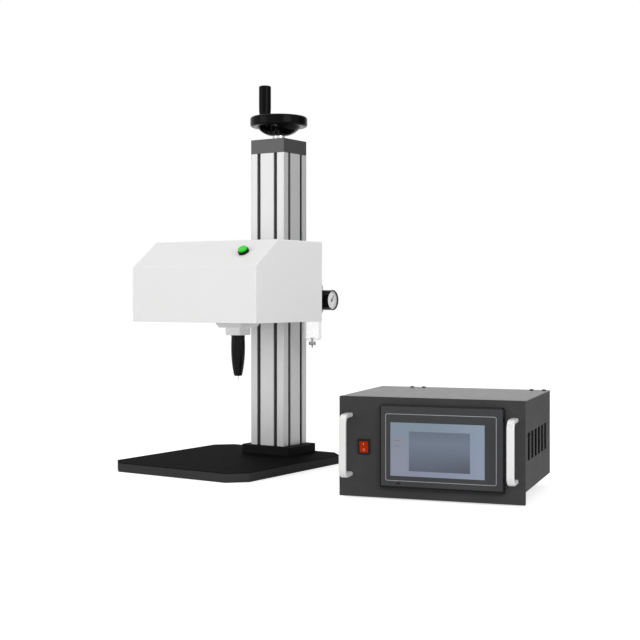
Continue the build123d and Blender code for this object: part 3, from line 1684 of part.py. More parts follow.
# Folded case, open above and in front, with vents in both sides and cut-outs behind
with BuildPart() as cabinet_case:
    with BuildSketch(cabinet_plane.offset(case_lift)):
        with Locations((case_inset, panel_thickness)):
            Rectangle(case_width, case_length, align=(Align.MIN, Align.MIN))
    extrude(amount=case_top - case_lift)
    with BuildSketch(cabinet_plane.offset(case_lift + case_sheet)):
        with Locations((case_inset + case_sheet, panel_thickness - overrun)):
            Rectangle(
                case_width - 2 * case_sheet,
                case_length - case_sheet + overrun,
                align=(Align.MIN, Align.MIN),
            )
    extrude(amount=case_top - case_lift, mode=Mode.SUBTRACT)
    with BuildSketch(side_plane):
        with Locations((vent_first, vent_bottom)):
            for index in range(vent_count):
                with Locations((index * vent_pitch, 0)):
                    Rectangle(vent_width, vent_height, align=(Align.MIN, Align.MIN))
    extrude(amount=panel_width, mode=Mode.SUBTRACT)
    with BuildSketch(cabinet_back_plane):
        with Locations((inlet_from_left, inlet_z)):
            Rectangle(inlet_hole_x + 2 * case_sheet, inlet_hole_z + 2 * case_sheet)
        for index in range(port_count):
            with Locations((port_first + index * port_spacing, port_z)):
                Circle(socket_ring / 2)
    extrude(amount=-2 * case_sheet, mode=Mode.SUBTRACT)
cabinet_case.part.label = "cabinet_case"
export_step(cabinet_case.part, "parts/cabinet_case.step")

# Lid with a skirt inside the case
with BuildPart() as cabinet_lid:
    with BuildSketch(cabinet_plane.offset(case_top)):
        with Locations((case_inset, panel_thickness)):
            Rectangle(case_width, case_length, align=(Align.MIN, Align.MIN))
    extrude(amount=lid_sheet)
    skirt_inset = case_sheet + slide_gap
    with BuildSketch(cabinet_plane.offset(case_top)):
        with Locations((case_inset + skirt_inset, panel_thickness + bezel_body)):
            Rectangle(
                case_width - 2 * skirt_inset,
                case_length - bezel_body - skirt_inset,
                align=(Align.MIN, Align.MIN),
            )
        with Locations((case_inset + skirt_inset + lid_sheet, panel_thickness + bezel_body + lid_sheet)):
            Rectangle(
                case_width - 2 * skirt_inset - 2 * lid_sheet,
                case_length - bezel_body - skirt_inset - 2 * lid_sheet,
                align=(Align.MIN, Align.MIN),
                mode=Mode.SUBTRACT,
            )
    extrude(amount=-lid_skirt)
cabinet_lid.part.label = "cabinet_lid"
export_step(cabinet_lid.part, "parts/cabinet_lid.step")

# Front panel with the cut-outs for the screen and the switch
bezel_x = bezel_left + bezel_width / 2
bezel_z = panel_lift + bezel_bottom + bezel_height / 2
with BuildPart() as front_panel:
    with BuildSketch(panel_plane):
        with Locations((panel_width / 2, panel_lift + panel_height / 2)):
            RectangleRounded(panel_width, panel_height, panel_corner)
        with Locations((bezel_x, bezel_z)):
            Rectangle(
                bezel_width - 2 * bezel_body_inset + 2 * slide_gap,
                bezel_height - 2 * bezel_body_inset + 2 * slide_gap,
                mode=Mode.SUBTRACT,
            )
        with Locations((rocker_x, rocker_z)):
            Rectangle(
                rocker_hole_x + 2 * slide_gap,
                rocker_hole_z + 2 * slide_gap,
                mode=Mode.SUBTRACT,
            )
    extrude(amount=-panel_thickness)
front_panel.part.label = "front_panel"
export_step(front_panel.part, "parts/front_panel.step")

# Screen surround: raised frame with bevelled edge, housing behind the panel
screen_x = bezel_left + screen_left + screen_width / 2
screen_z = panel_lift + bezel_bottom + screen_bottom + screen_height / 2
with BuildPart() as screen_bezel:
    with BuildSketch(panel_plane):
        with Locations((bezel_x, bezel_z)):
            RectangleRounded(bezel_width, bezel_height, bezel_round)
    extrude(amount=bezel_proud)
    chamfer(screen_bezel.faces().sort_by(panel_axis)[-1].edges(), bezel_edge)
    with BuildSketch(panel_plane):
        with Locations((bezel_x, bezel_z)):
            Rectangle(bezel_width - 2 * bezel_body_inset, bezel_height - 2 * bezel_body_inset)
    extrude(amount=-bezel_body + bezel_back_gap)
    with BuildSketch(panel_plane.offset(bezel_proud)):
        with Locations((screen_x, screen_z)):
            Rectangle(screen_width, screen_height)
    extrude(amount=-screen_sink - screen_depth, mode=Mode.SUBTRACT)
screen_bezel.part.label = "screen_bezel"
export_step(screen_bezel.part, "parts/screen_bezel.step")

with BuildPart() as screen:
    with BuildSketch(panel_plane.offset(bezel_proud - screen_sink)):
        with Locations((screen_x, screen_z)):
            Rectangle(screen_width, screen_height)
    extrude(amount=-screen_depth)
screen.part.label = "screen"
export_step(screen.part, "parts/screen.step")

# Bow handles: a flat rounded bar swept along a bow that ends on the panel
handle_low = panel_lift + handle_bottom + handle_deep / 2
handle_high = panel_lift + handle_bottom + handle_height - handle_deep / 2
handle_out = handle_reach - handle_deep / 2
with BuildPart() as cabinet_handles:
    for side_x in (handle_inset, panel_width - handle_inset):
        start = panel_plane.from_local_coords((side_x, handle_low, 0))
        low_bend = panel_plane.from_local_coords((side_x, handle_low, handle_out))
        high_bend = panel_plane.from_local_coords((side_x, handle_high, handle_out))
        finish = panel_plane.from_local_coords((side_x, handle_high, 0))
        with BuildLine() as bow:
            FilletPolyline(start, low_bend, high_bend, finish, radius=handle_bend)
        with BuildSketch(panel_plane):
            with Locations((side_x, handle_low)):
                RectangleRounded(handle_across, handle_deep, handle_round)
        sweep(path=bow.line)
cabinet_handles.part.label = "cabinet_handles"
export_step(cabinet_handles.part, "parts/cabinet_handles.step")

# Switch frame with its cavity
with BuildPart() as switch_frame:
    with BuildSketch(panel_plane):
        with Locations((rocker_x, rocker_z)):
            RectangleRounded(rocker_frame_x, rocker_frame_z, panel_corner)
    extrude(amount=rocker_frame_proud)
    with BuildSketch(panel_plane):
        with Locations((rocker_x, rocker_z)):
            Rectangle(rocker_hole_x, rocker_hole_z)
    extrude(amount=-rocker_body_depth)
    with BuildSketch(panel_plane.offset(rocker_frame_proud)):
        with Locations((rocker_x, rocker_z)):
            Rectangle(rocker_opening_x, rocker_opening_z)
    extrude(amount=-rocker_cavity, mode=Mode.SUBTRACT)
    with BuildSketch(side_plane.offset(rocker_x)):
        with Locations((rocker_pivot - rocker_frame_proud, rocker_z)):
            Circle(rocker_pin / 2)
    extrude(amount=rocker_width / 2 + rocker_pin_length, both=True, mode=Mode.SUBTRACT)
switch_frame.part.label = "switch_frame"
export_step(switch_frame.part, "parts/switch_frame.step")

# Rocker: round back about its pins, shallow V in front, one end pressed in
rocker_pivot_point = side_plane.from_local_coords((rocker_pivot - rocker_frame_proud, rocker_z, rocker_x))
tilt = radians(rocker_tilt)
rocker_plane = Plane(
    rocker_pivot_point,
    x_dir=(-sin(turn) * cos(tilt), cos(turn) * cos(tilt), sin(tilt)),
    z_dir=side_plane.z_dir,
)
with BuildPart() as power_rocker:
    with BuildSketch(rocker_plane):
        with BuildLine():
            Polyline(
                (0, rocker_radius),
                (-rocker_end, rocker_radius * cos(radians(2 * rocker_tilt / 3))),
                (-rocker_middle, 0),
                (-rocker_end, -rocker_radius * cos(radians(2 * rocker_tilt / 3))),
                (0, -rocker_radius),
            )
            ThreePointArc((0, -rocker_radius), (rocker_radius, 0), (0, rocker_radius))
        make_face()
    extrude(amount=rocker_width / 2, both=True)
    with BuildSketch(rocker_plane):
        Circle(rocker_pin / 2 - running_gap)
    extrude(amount=rocker_width / 2 + rocker_pin_length - running_gap, both=True)
power_rocker.part.label = "power_rocker"
export_step(power_rocker.part, "parts/power_rocker.step")

# Rubber feet, tapering to the floor
with BuildPart() as cabinet_feet:
    for x in (foot_inset, panel_width - foot_inset):
        for y in (panel_thickness + foot_inset, case_depth - foot_inset):
            with BuildSketch(cabinet_plane.offset(case_lift)):
                with Locations((x, y)):
                    Circle(foot_diameter / 2)
            with BuildSketch(cabinet_plane):
                with Locations((x, y)):
                    Circle(foot_diameter / 2 - foot_taper / 2)
            loft()
cabinet_feet.part.label = "cabinet_feet"
export_step(cabinet_feet.part, "parts/cabinet_feet.step")

# Power inlet: flange, cavity with its three pins, housing inside the case
with BuildPart() as power_inlet:
    with BuildSketch(cabinet_back_plane):
        with Locations((inlet_from_left, inlet_z)):
            RectangleRounded(inlet_plate_x, inlet_plate_z, cover_bend)
    extrude(amount=inlet_proud)
    with BuildSketch(cabinet_back_plane):
        with Locations((inlet_from_left, inlet_z)):
            Rectangle(inlet_hole_x + case_sheet, inlet_hole_z + case_sheet)
    extrude(amount=-inlet_tail)
    with BuildSketch(cabinet_back_plane.offset(inlet_proud)):
        with Locations((inlet_from_left, inlet_z)):
            Rectangle(inlet_hole_x - case_sheet, inlet_hole_z - case_sheet)
    extrude(amount=-inlet_hole_depth, mode=Mode.SUBTRACT)
    with BuildSketch(cabinet_back_plane.offset(inlet_proud - inlet_hole_depth)):
        with Locations((inlet_from_left, inlet_z)):
            with GridLocations(pin_spacing, 0, pin_count, 1):
                Rectangle(pin_width, pin_depth)
    extrude(amount=pin_length)
power_inlet.part.label = "power_inlet"
export_step(power_inlet.part, "parts/power_inlet.step")

# Round sockets for the head's cable and the signals
with BuildPart() as rear_sockets:
    for index in range(port_count):
        spot = (port_first + index * port_spacing, port_z)
        with BuildSketch(cabinet_back_plane):
            with Locations(spot):
                RectangleRounded(socket_flange, socket_flange, cover_bend)
        extrude(amount=socket_flange_thickness)
        with BuildSketch(cabinet_back_plane.offset(socket_flange_thickness)):
            with Locations(spot):
                Circle(socket_ring / 2)
        extrude(amount=socket_ring_height)
        with BuildSketch(cabinet_back_plane):
            with Locations(spot):
                Circle(socket_ring / 2 - press_gap)
        extrude(amount=-socket_tail)
        with BuildSketch(cabinet_back_plane.offset(socket_flange_thickness + socket_ring_height)):
            with Locations(spot):
                Circle(socket_bore / 2)
        extrude(amount=-socket_bore_depth, mode=Mode.SUBTRACT)
rear_sockets.part.label = "rear_sockets"
export_step(rear_sockets.part, "parts/rear_sockets.step")

# Power supply on the case's floor, control board with its larger chips on four standoffs
case_floor = case_lift + case_sheet
board_spots = grid(board_x - 2 * standoff, board_y - 2 * standoff)
board_middle = cabinet_plane.from_local_coords((board_from_left, case_depth - supply_from_back, 0))
board_plane = Plane(board_middle, x_dir=cabinet_plane.x_dir, z_dir=(0, 0, 1))
with BuildPart() as power_supply:
    with BuildSketch(cabinet_plane.offset(case_floor)):
        with Locations((supply_from_left, case_depth - supply_from_back)):
            Rectangle(supply_x, supply_y)
    extrude(amount=supply_z)
    chamfer(power_supply.faces().sort_by(Axis.Z)[-1].edges(), case_sheet)

with BuildPart() as control_board:
    with BuildSketch(board_plane.offset(case_floor)):
        with Locations(*board_spots):
            RegularPolygon(standoff / 2, 6)
    extrude(amount=board_lift)
    with BuildSketch(board_plane.offset(case_floor + board_lift)):
        Rectangle(board_x, board_y)
    extrude(amount=board_thickness)
    with BuildSketch(board_plane.offset(case_floor + board_lift + board_thickness)):
        with GridLocations(board_x / 3, board_y / 2, 2, 2):
            Rectangle(chip_size, chip_size)
    extrude(amount=chip_height)

with BuildPart() as electronics:
    add(power_supply.part)
    add(control_board.part)
electronics.part.label = "cabinet_electronics"
export_step(electronics.part, "parts/cabinet_electronics.step")
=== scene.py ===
import json
from math import cos, pi, radians, sin

import bpy
from mathutils import Matrix, Vector

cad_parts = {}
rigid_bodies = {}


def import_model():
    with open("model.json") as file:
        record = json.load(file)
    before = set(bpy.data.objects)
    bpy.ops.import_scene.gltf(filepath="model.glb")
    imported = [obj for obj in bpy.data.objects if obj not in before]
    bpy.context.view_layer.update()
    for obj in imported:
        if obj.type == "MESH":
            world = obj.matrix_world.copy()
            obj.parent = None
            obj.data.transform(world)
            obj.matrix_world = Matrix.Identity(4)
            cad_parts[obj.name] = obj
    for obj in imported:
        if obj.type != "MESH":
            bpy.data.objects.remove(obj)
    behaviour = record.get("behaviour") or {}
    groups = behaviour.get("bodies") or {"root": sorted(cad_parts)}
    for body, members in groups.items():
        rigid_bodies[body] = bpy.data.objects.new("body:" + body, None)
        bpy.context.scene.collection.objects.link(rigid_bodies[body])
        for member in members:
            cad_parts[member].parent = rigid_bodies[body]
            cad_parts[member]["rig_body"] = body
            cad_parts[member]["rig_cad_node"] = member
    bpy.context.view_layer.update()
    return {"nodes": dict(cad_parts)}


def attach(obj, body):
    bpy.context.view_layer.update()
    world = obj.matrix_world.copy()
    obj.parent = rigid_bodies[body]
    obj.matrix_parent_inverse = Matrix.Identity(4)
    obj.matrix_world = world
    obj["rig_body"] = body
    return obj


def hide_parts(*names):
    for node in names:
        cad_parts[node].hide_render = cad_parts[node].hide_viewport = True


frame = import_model()
bpy.ops.object.select_all(action="DESELECT")
print("stage 1: frame loaded,", len(frame["nodes"]), "nodes")

mm = 0.001

# Camera: level, a little above the base, right of the front
camera = {"spot": (1.4481, -2.0288, 0.3288), "tilt": 90, "turn": 33.63, "lens": 70.24,
          "sensor": 36, "shiftY": -0.0382, "near": 0.05}

cameraData = bpy.data.cameras.new("camera")
cameraData.lens = camera["lens"]
cameraData.sensor_width = camera["sensor"]
cameraData.shift_y = camera["shiftY"]
cameraData.clip_start = camera["near"]
cameraObject = bpy.data.objects.new("camera", cameraData)
bpy.context.scene.collection.objects.link(cameraObject)
cameraObject.location = camera["spot"]
cameraObject.rotation_euler = (radians(camera["tilt"]), 0, radians(camera["turn"]))
bpy.context.scene.camera = cameraObject
bpy.context.scene.view_settings.view_transform = "Standard"


# Shader maths: a socket that can stand in a sum
class Wire:
    def __init__(self, finish, socket):
        self.finish = finish
        self.socket = socket

    def join(self, operation, first, second):
        return self.finish.node("ShaderNodeMath", {"operation": operation}, {0: first, 1: second})

    def __add__(self, other):
        return self.join("ADD", self, other)

    def __radd__(self, other):
        return self.join("ADD", other, self)

    def __sub__(self, other):
        return self.join("SUBTRACT", self, other)

    def __rsub__(self, other):
        return self.join("SUBTRACT", other, self)

    def __mul__(self, other):
        return self.join("MULTIPLY", self, other)

    def __rmul__(self, other):
        return self.join("MULTIPLY", other, self)

    def __truediv__(self, other):
        return self.join("DIVIDE", self, other)

    def __gt__(self, other):
        return self.join("GREATER_THAN", self, other)

    def __lt__(self, other):
        return self.join("LESS_THAN", self, other)

    def __abs__(self):
        return self.join("ABSOLUTE", self, 0)

    def clipped(self):
        return self.finish.node("ShaderNodeClamp", {}, {"Value": self})


class Finish:
    def __init__(self, name):
        self.material = bpy.data.materials.new(name)
        self.material.use_nodes = True
        self.tree = self.material.node_tree
        self.tree.nodes.clear()
        output = self.tree.nodes.new("ShaderNodeOutputMaterial")
        self.shader = self.tree.nodes.new("ShaderNodeBsdfPrincipled")
        self.tree.links.new(self.shader.outputs[0], output.inputs[0])

    def plug(self, socket, value):
        if isinstance(value, Wire):
            self.tree.links.new(value.socket, socket)
        elif isinstance(value, tuple) and len(value) < len(socket.default_value):
            socket.default_value = value + (1.0,)  # a colour, with its alpha
        else:
            socket.default_value = value

    def node(self, kind, settings, sockets, output=0):
        made = self.tree.nodes.new(kind)
        for key, value in settings.items():
            setattr(made, key, value)
        for key, value in sockets.items():
            self.plug(made.inputs[key], value)
        return Wire(self, made.outputs[output])

    def place(self, turn=0.0, shift=(0, 0, 0), scale=(1, 1, 1)):
        spot = self.node("ShaderNodeTexCoord", {}, {}, "Object")
        return self.node(
            "ShaderNodeMapping",
            {"vector_type": "POINT"},
            {"Vector": spot, "Rotation": (0, 0, turn), "Location": shift, "Scale": scale},
        )

    def parts(self, vector):
        made = self.tree.nodes.new("ShaderNodeSeparateXYZ")
        self.plug(made.inputs[0], vector)
        return [Wire(self, made.outputs[index]) for index in range(3)]

    def noise(self, vector, scale, detail, rough=0.55):
        return self.node(
            "ShaderNodeTexNoise",
            {"noise_dimensions": "3D"},
            {"Vector": vector, "Scale": scale, "Detail": detail, "Roughness": rough},
        )

    def ramp(self, value, low, high, start=0.0, end=1.0):
        return self.node(
            "ShaderNodeMapRange",
            {"clamp": True},
            {"Value": value, "From Min": low, "From Max": high, "To Min": start, "To Max": end},
        )

    def under(self, value, low, high):
        return self.ramp(value, low, high, 1.0, 0.0)

    def mix(self, share, first, second):
        made = self.tree.nodes.new("ShaderNodeMix")
        made.data_type = "RGBA"
        self.plug(made.inputs["Factor"], share)
        self.plug(made.inputs[6], first)
        self.plug(made.inputs[7], second)
        return Wire(self, made.outputs[2])

    def varied(self, share, colour, low, high):
        return self.mix(share, tinted(colour, low), tinted(colour, high))

    def bump(self, height, depth):
        return self.node("ShaderNodeBump", {}, {"Height": height, "Distance": depth})

    def fed(self, label):
        return Wire(self, self.shader.inputs[label].links[0].from_socket)

    def set(self, **values):
        labels = {
            "colour": "Base Color",
            "rough": "Roughness",
            "metal": "Metallic",
            "specular": "Specular IOR Level",
            "glow": "Emission Color",
            "glowStrength": "Emission Strength",
            "alpha": "Alpha",
            "normal": "Normal",
        }
        for key, value in values.items():
            self.plug(self.shader.inputs[labels[key]], value)


def tinted(colour, share):
    return tuple(min(1.0, part * share) for part in colour)


noiseMiddle = 0.5  # a noise swings about this value

# Paints and plastics: colour and how much it varies, roughness and how much that varies, scale of
# the grain and its depth in metres
coats = {
    "whiteCoat": {"colour": (0.86, 0.86, 0.857), "vary": 0.008, "rough": 0.46, "roughVary": 0.05,
                  "grain": 900, "depth": 0.00002, "specular": 0.3},
    "baseCoat": {"colour": (0.0038, 0.0038, 0.0040), "vary": 0.2, "rough": 0.66, "roughVary": 0.06,
                  "grain": 1400, "depth": 0.00003, "specular": 0.008},
    "footCoat": {"colour": (0.0125, 0.0125, 0.0130), "vary": 0.15, "rough": 0.55, "roughVary": 0.06,
                 "grain": 1400, "depth": 0.00002, "specular": 0.03},
    "cabinetCoat": {"colour": (0.053, 0.053, 0.055), "vary": 0.10, "rough": 0.58, "roughVary": 0.06,
                    "grain": 1700, "depth": 0.00003, "specular": 0.06},
    "lidCoat": {"colour": (0.052, 0.052, 0.054), "vary": 0.10, "rough": 0.34, "roughVary": 0.05,
                "grain": 1700, "depth": 0.00002, "specular": 0.42},
    "bezelMould": {"colour": (0.048, 0.049, 0.051), "vary": 0.10, "rough": 0.36, "roughVary": 0.05,
                   "grain": 2600, "depth": 0.000012, "specular": 0.13},
    "blackMould": {"colour": (0.008, 0.008, 0.0085), "vary": 0.2, "rough": 0.36, "roughVary": 0.08,
                   "grain": 2200, "depth": 0.000012, "specular": 0.14},
    "stylusCoat": {"colour": (0.0052, 0.0052, 0.0056), "vary": 0.2, "rough": 0.22, "roughVary": 0.06,
                   "grain": 3000, "depth": 0.000006, "specular": 0.09},
    "blackRubber": {"colour": (0.012, 0.012, 0.012), "vary": 0.2, "rough": 0.8, "roughVary": 0.08,
                    "grain": 900, "depth": 0.00004, "specular": 0.1},
    "casting": {"colour": (0.62, 0.62, 0.61), "vary": 0.03, "rough": 0.5, "roughVary": 0.08,
                "grain": 900, "depth": 0.00005, "specular": 0.4},
    "dialPaint": {"colour": (0.92, 0.92, 0.915), "vary": 0.015, "rough": 0.5, "roughVary": 0.04,
                  "grain": 700, "depth": 0.000004, "specular": 0.3},
    "padPlastic": {"colour": (0.78, 0.78, 0.75), "vary": 0.03, "rough": 0.5, "roughVary": 0.05,
                   "grain": 1200, "depth": 0.00001, "specular": 0.35},
    "boardPaint": {"colour": (0.02, 0.12, 0.05), "vary": 0.2, "rough": 0.5, "roughVary": 0.08,
                   "grain": 400, "depth": 0.00002, "specular": 0.35},
    "inkBlack": {"colour": (0.01, 0.01, 0.01), "vary": 0.1, "rough": 0.6, "roughVary": 0.05,
                 "grain": 900, "depth": 0.000002, "specular": 0.2},
    "markPale": {"colour": (0.85, 0.42, 0.30), "vary": 0.04, "rough": 0.5, "roughVary": 0.05,
                 "grain": 900, "depth": 0.000002, "specular": 0.3},
    "ringBlue": {"colour": (0.02, 0.10, 0.32), "vary": 0.1, "rough": 0.4, "roughVary": 0.05,
                 "grain": 1200, "depth": 0.000006, "specular": 0.3},
    "contactGold": {"colour": (0.62, 0.42, 0.12), "vary": 0.08, "rough": 0.3, "roughVary": 0.05,
                    "grain": 1600, "depth": 0.000004, "specular": 0.5},
}


# Noise in every coat: broad clouds in the colour, smaller ones in the roughness
coatNoise = {"broad": 9, "broadDetail": 4, "low": 0.3, "high": 0.7, "fineDetail": 2,
             "gloss": 60, "glossDetail": 3}


def coatFinish(name):
    look = coats[name]
    finish = Finish(name)
    spot = finish.place()
    broad = finish.noise(spot, coatNoise["broad"], coatNoise["broadDetail"])
    fine = finish.noise(spot, look["grain"], coatNoise["fineDetail"])
    gloss = finish.noise(spot, coatNoise["gloss"], coatNoise["glossDetail"])
    share = finish.ramp(broad, coatNoise["low"], coatNoise["high"])
    finish.set(
        colour=finish.varied(share, look["colour"], 1 - look["vary"], 1 + look["vary"]),
        rough=look["rough"] + (gloss - noiseMiddle) * (2 * look["roughVary"]),
        specular=look["specular"],
        normal=finish.bump(fine, look["depth"]),
    )
    return finish


# Metals: brushed along one axis ("lay" squeezes the grain), with faint broad staining
metals = {
    "columnMetal": {"colour": (0.61, 0.61, 0.612), "metal": 0.37, "rough": 0.44, "vary": 0.03,
                    "lay": (900, 900, 6), "depth": 0.000006},
    "capMetal": {"colour": (0.086, 0.086, 0.088), "metal": 0.7, "rough": 0.5, "vary": 0.05,
                 "lay": (1500, 1500, 1500), "depth": 0.00001},
    "sleeveMetal": {"colour": (0.05, 0.05, 0.052), "metal": 0.4, "rough": 0.45, "vary": 0.1,
                    "lay": (900, 900, 40), "depth": 0.00001},
    "frameMetal": {"colour": (0.62, 0.63, 0.64), "metal": 0.9, "rough": 0.38, "vary": 0.04,
                   "lay": (60, 900, 900), "depth": 0.00001},
    "mountMetal": {"colour": (0.90, 0.90, 0.90), "metal": 0.1, "rough": 0.45, "vary": 0.02,
                   "lay": (80, 900, 900), "depth": 0.000006},
    "groundSteel": {"colour": (0.55, 0.55, 0.56), "metal": 1.0, "rough": 0.26, "vary": 0.05,
                    "lay": (900, 900, 900), "depth": 0.000004},
    "polishedSteel": {"colour": (0.74, 0.74, 0.745), "metal": 1.0, "rough": 0.10, "vary": 0.02,
                      "lay": (400, 400, 2000), "depth": 0.000001},
    "blackOxide": {"colour": (0.030, 0.030, 0.032), "metal": 0.6, "rough": 0.36, "vary": 0.15,
                   "lay": (1200, 1200, 1200), "depth": 0.000008},
    "bronzeMetal": {"colour": (0.50, 0.32, 0.12), "metal": 1.0, "rough": 0.32, "vary": 0.08,
                    "lay": (300, 300, 1500), "depth": 0.000006},
    "turnedSteel": {"colour": (0.84, 0.84, 0.845), "metal": 0.5, "rough": 0.24, "vary": 0.02,
                    "lay": (400, 400, 1600), "depth": 0.000002},
    "handleMetal": {"colour": (0.76, 0.755, 0.75), "metal": 0.2, "rough": 0.36, "vary": 0.015,
                    "lay": (700, 700, 30), "depth": 0.000004},
    "motorMetal": {"colour": (0.03, 0.03, 0.032), "metal": 0.4, "rough": 0.5, "vary": 0.15,
                   "lay": (900, 900, 900), "depth": 0.00001},
    "drainMetal": {"colour": (0.27, 0.27, 0.28), "metal": 0.9, "rough": 0.3, "vary": 0.06,
                   "lay": (900, 900, 300), "depth": 0.000004},
}


# Noise in every metal: fine strands along the lay, with clouds of stain
metalNoise = {"strands": 1, "strandDetail": 3, "strandRough": 0.6, "strandShare": 0.6,
              "stain": 14, "stainDetail": 4, "low": 0.3, "high": 0.7, "roughVary": 0.08}


def metalFinish(name):
    look = metals[name]
    finish = Finish(name)
    strands = finish.noise(
        finish.place(scale=look["lay"]), metalNoise["strands"], metalNoise["strandDetail"],
        metalNoise["strandRough"])
    stain = finish.noise(finish.place(), metalNoise["stain"], metalNoise["stainDetail"])
    cloud = strands * metalNoise["strandShare"] + stain * (1 - metalNoise["strandShare"])
    share = finish.ramp(cloud.clipped(), metalNoise["low"], metalNoise["high"])
    finish.set(
        colour=finish.varied(share, look["colour"], 1 - look["vary"], 1 + look["vary"]),
        rough=look["rough"] + (strands - noiseMiddle) * (2 * metalNoise["roughVary"]),
        metal=look["metal"],
        normal=finish.bump(strands, look["depth"]),
    )
    return finish


# Column: painted shade in the T-slots where they go deeper than the face, darkest in the slots of the
# side faces
slotShade = {"face": 0.0392, "deep": 0.036, "front": (0.17, 0.17, 0.172),
            "side": (0.014, 0.014, 0.015)}


def columnFinish():
    finish = metalFinish("columnMetal")
    x, y = finish.parts(finish.place())[:2]
    reach = finish.node("ShaderNodeMath", {"operation": "MAXIMUM"}, {0: abs(x), 1: abs(y)})
    inside = finish.under(reach, slotShade["deep"], slotShade["face"])
    # painted shade: the side slots darker than the front ones
    dark = finish.mix(abs(x) > abs(y), slotShade["front"], slotShade["side"])
    finish.set(
        colour=finish.mix(inside, finish.fed("Base Color"), dark),
        metal=metals["columnMetal"]["metal"] * (1 - inside),
    )
    return finish


# Base plate: painted light, the plate's sides below the top face coloured lighter than the top
plateSideLight = {"colour": (0.050, 0.050, 0.051), "low": 0.0150, "high": 0.0166}


def baseFinish():
    finish = coatFinish("baseCoat")
    z = finish.parts(finish.place())[2]
    # painted light on the plate's sides
    side = finish.under(z, plateSideLight["low"], plateSideLight["high"])
    finish.set(colour=finish.mix(side, finish.fed("Base Color"), plateSideLight["colour"]))
    return finish


# Screws: ridges that wind round the axis, with painted shade at the root. Centres, pitch and depth in
# metres
threads = {
    "liftThread": {"axis": 2, "centre": (0, 0, 0), "pitch": 0.004, "starts": 1, "depth": 0.0011},
    "yThread": {"axis": 1, "centre": (0, 0, 0.3645), "pitch": 0.0025, "starts": 4, "depth": 0.0004},
    "xThread": {"axis": 0, "centre": (0, -0.166, 0.318), "pitch": 0.0025, "starts": 4,
                "depth": 0.0004},
}
ridgeShade = {"half": 0.5, "root": 0.1, "crest": 0.4, "dark": (0.13, 0.13, 0.135),
         "bright": (0.56, 0.56, 0.57)}


def threadFinish(name):
    look = threads[name]
    finish = metalFinish("groundSteel")
    finish.material.name = name
    spots = finish.parts(finish.place())
    first, second = [
        spots[index % 3] - look["centre"][index % 3]
        for index in (look["axis"] + 1, look["axis"] + 2)
    ]
    angle = finish.node("ShaderNodeMath", {"operation": "ARCTAN2"}, {0: second, 1: first})
    turns = spots[look["axis"]] / look["pitch"] - angle * (look["starts"] / (2 * pi))
    wave = finish.node("ShaderNodeMath", {"operation": "PINGPONG"}, {0: turns, 1: ridgeShade["half"]})
    crest = finish.ramp(wave, ridgeShade["root"], ridgeShade["crest"])
    finish.set(
        # painted shade in the thread roots, crests in the steel's own colour
        colour=finish.mix(crest, ridgeShade["dark"], ridgeShade["bright"]),
        normal=finish.bump(crest, look["depth"]),
    )
    return finish


# Gloss black of wheel and grip
wheelLook = {"colour": (0.0030, 0.0030, 0.0032), "low": 0.8, "high": 1.3, "rough": 0.2,
             "roughVary": 0.05, "specular": 0.055, "flow": 30, "flowDetail": 3,
             "dust": 1600, "dustDetail": 2, "depth": 0.000003}


def wheelFinish():
    look = wheelLook
    finish = Finish("blackPhenolic")
    spot = finish.place()
    flow = finish.noise(spot, look["flow"], look["flowDetail"])
    dust = finish.noise(spot, look["dust"], look["dustDetail"])
    finish.set(
        colour=finish.varied(flow, look["colour"], look["low"], look["high"]),
        rough=look["rough"] + (flow - noiseMiddle) * (2 * look["roughVary"]),
        specular=look["specular"],
        normal=finish.bump(dust, look["depth"]),
    )
    return finish


# Green start button, brightened by a painted glow in its own colour
buttonLook = {"colour": (0.002, 0.62, 0.006), "low": 0.92, "high": 1.08, "glow": 0.12,
              "rough": 0.22, "roughVary": 0.04, "specular": 0.3, "swirl": 120, "swirlDetail": 3,
              "dust": 1500, "dustDetail": 2, "depth": 0.000003}


def buttonFinish():
    look = buttonLook
    finish = Finish("greenGloss")
    spot = finish.place()
    swirl = finish.noise(spot, look["swirl"], look["swirlDetail"])
    dust = finish.noise(spot, look["dust"], look["dustDetail"])
    finish.set(
        colour=finish.varied(swirl, look["colour"], look["low"], look["high"]),
        rough=look["rough"] + (swirl - noiseMiddle) * (2 * look["roughVary"]),
        specular=look["specular"],
        # painted glow in the button's colour
        glow=look["colour"],
        glowStrength=look["glow"],
        normal=finish.bump(dust, look["depth"]),
    )
    return finish


# Red rocker, glowing a little in its own colour
rockerLook = {"colour": (0.30, 0.017, 0.0010), "low": 0.85, "high": 1.1, "glow": 0.34, "rough": 0.2,
              "roughVary": 0.04, "specular": 0.05, "warm": 160, "warmDetail": 3}


def rockerFinish():
    look = rockerLook
    finish = Finish("redGloss")
    warm = finish.noise(finish.place(), look["warm"], look["warmDetail"])
    finish.set(
        colour=finish.varied(warm, look["colour"], look["low"], look["high"]),
        rough=look["rough"] + (warm - noiseMiddle) * (2 * look["roughVary"]),
        specular=look["specular"],
        glow=look["colour"],
        glowStrength=look["glow"],
    )
    return finish


# Thin glass: nearly clear from the front, grey where it is seen along its face
glassLook = {"haze": 220, "hazeDetail": 3, "dull": (0.80, 0.82, 0.82), "bright": (0.84, 0.86, 0.86),
             "rough": 0.03, "roughHaze": 0.03, "specular": 0.5, "blend": 0.35,
             "from": 0.3, "to": 1.0, "clear": 0.05, "grey": 0.4}


def glassFinish():
    look = glassLook
    finish = Finish("glassClear")
    haze = finish.noise(finish.place(), look["haze"], look["hazeDetail"])
    rim = finish.node("ShaderNodeLayerWeight", {}, {"Blend": look["blend"]}, "Facing")
    finish.set(
        colour=finish.mix(haze, look["dull"], look["bright"]),
        rough=look["rough"] + haze * look["roughHaze"],
        specular=look["specular"],
        alpha=finish.ramp(rim, look["from"], look["to"], look["clear"], look["grey"]),
    )
    return finish
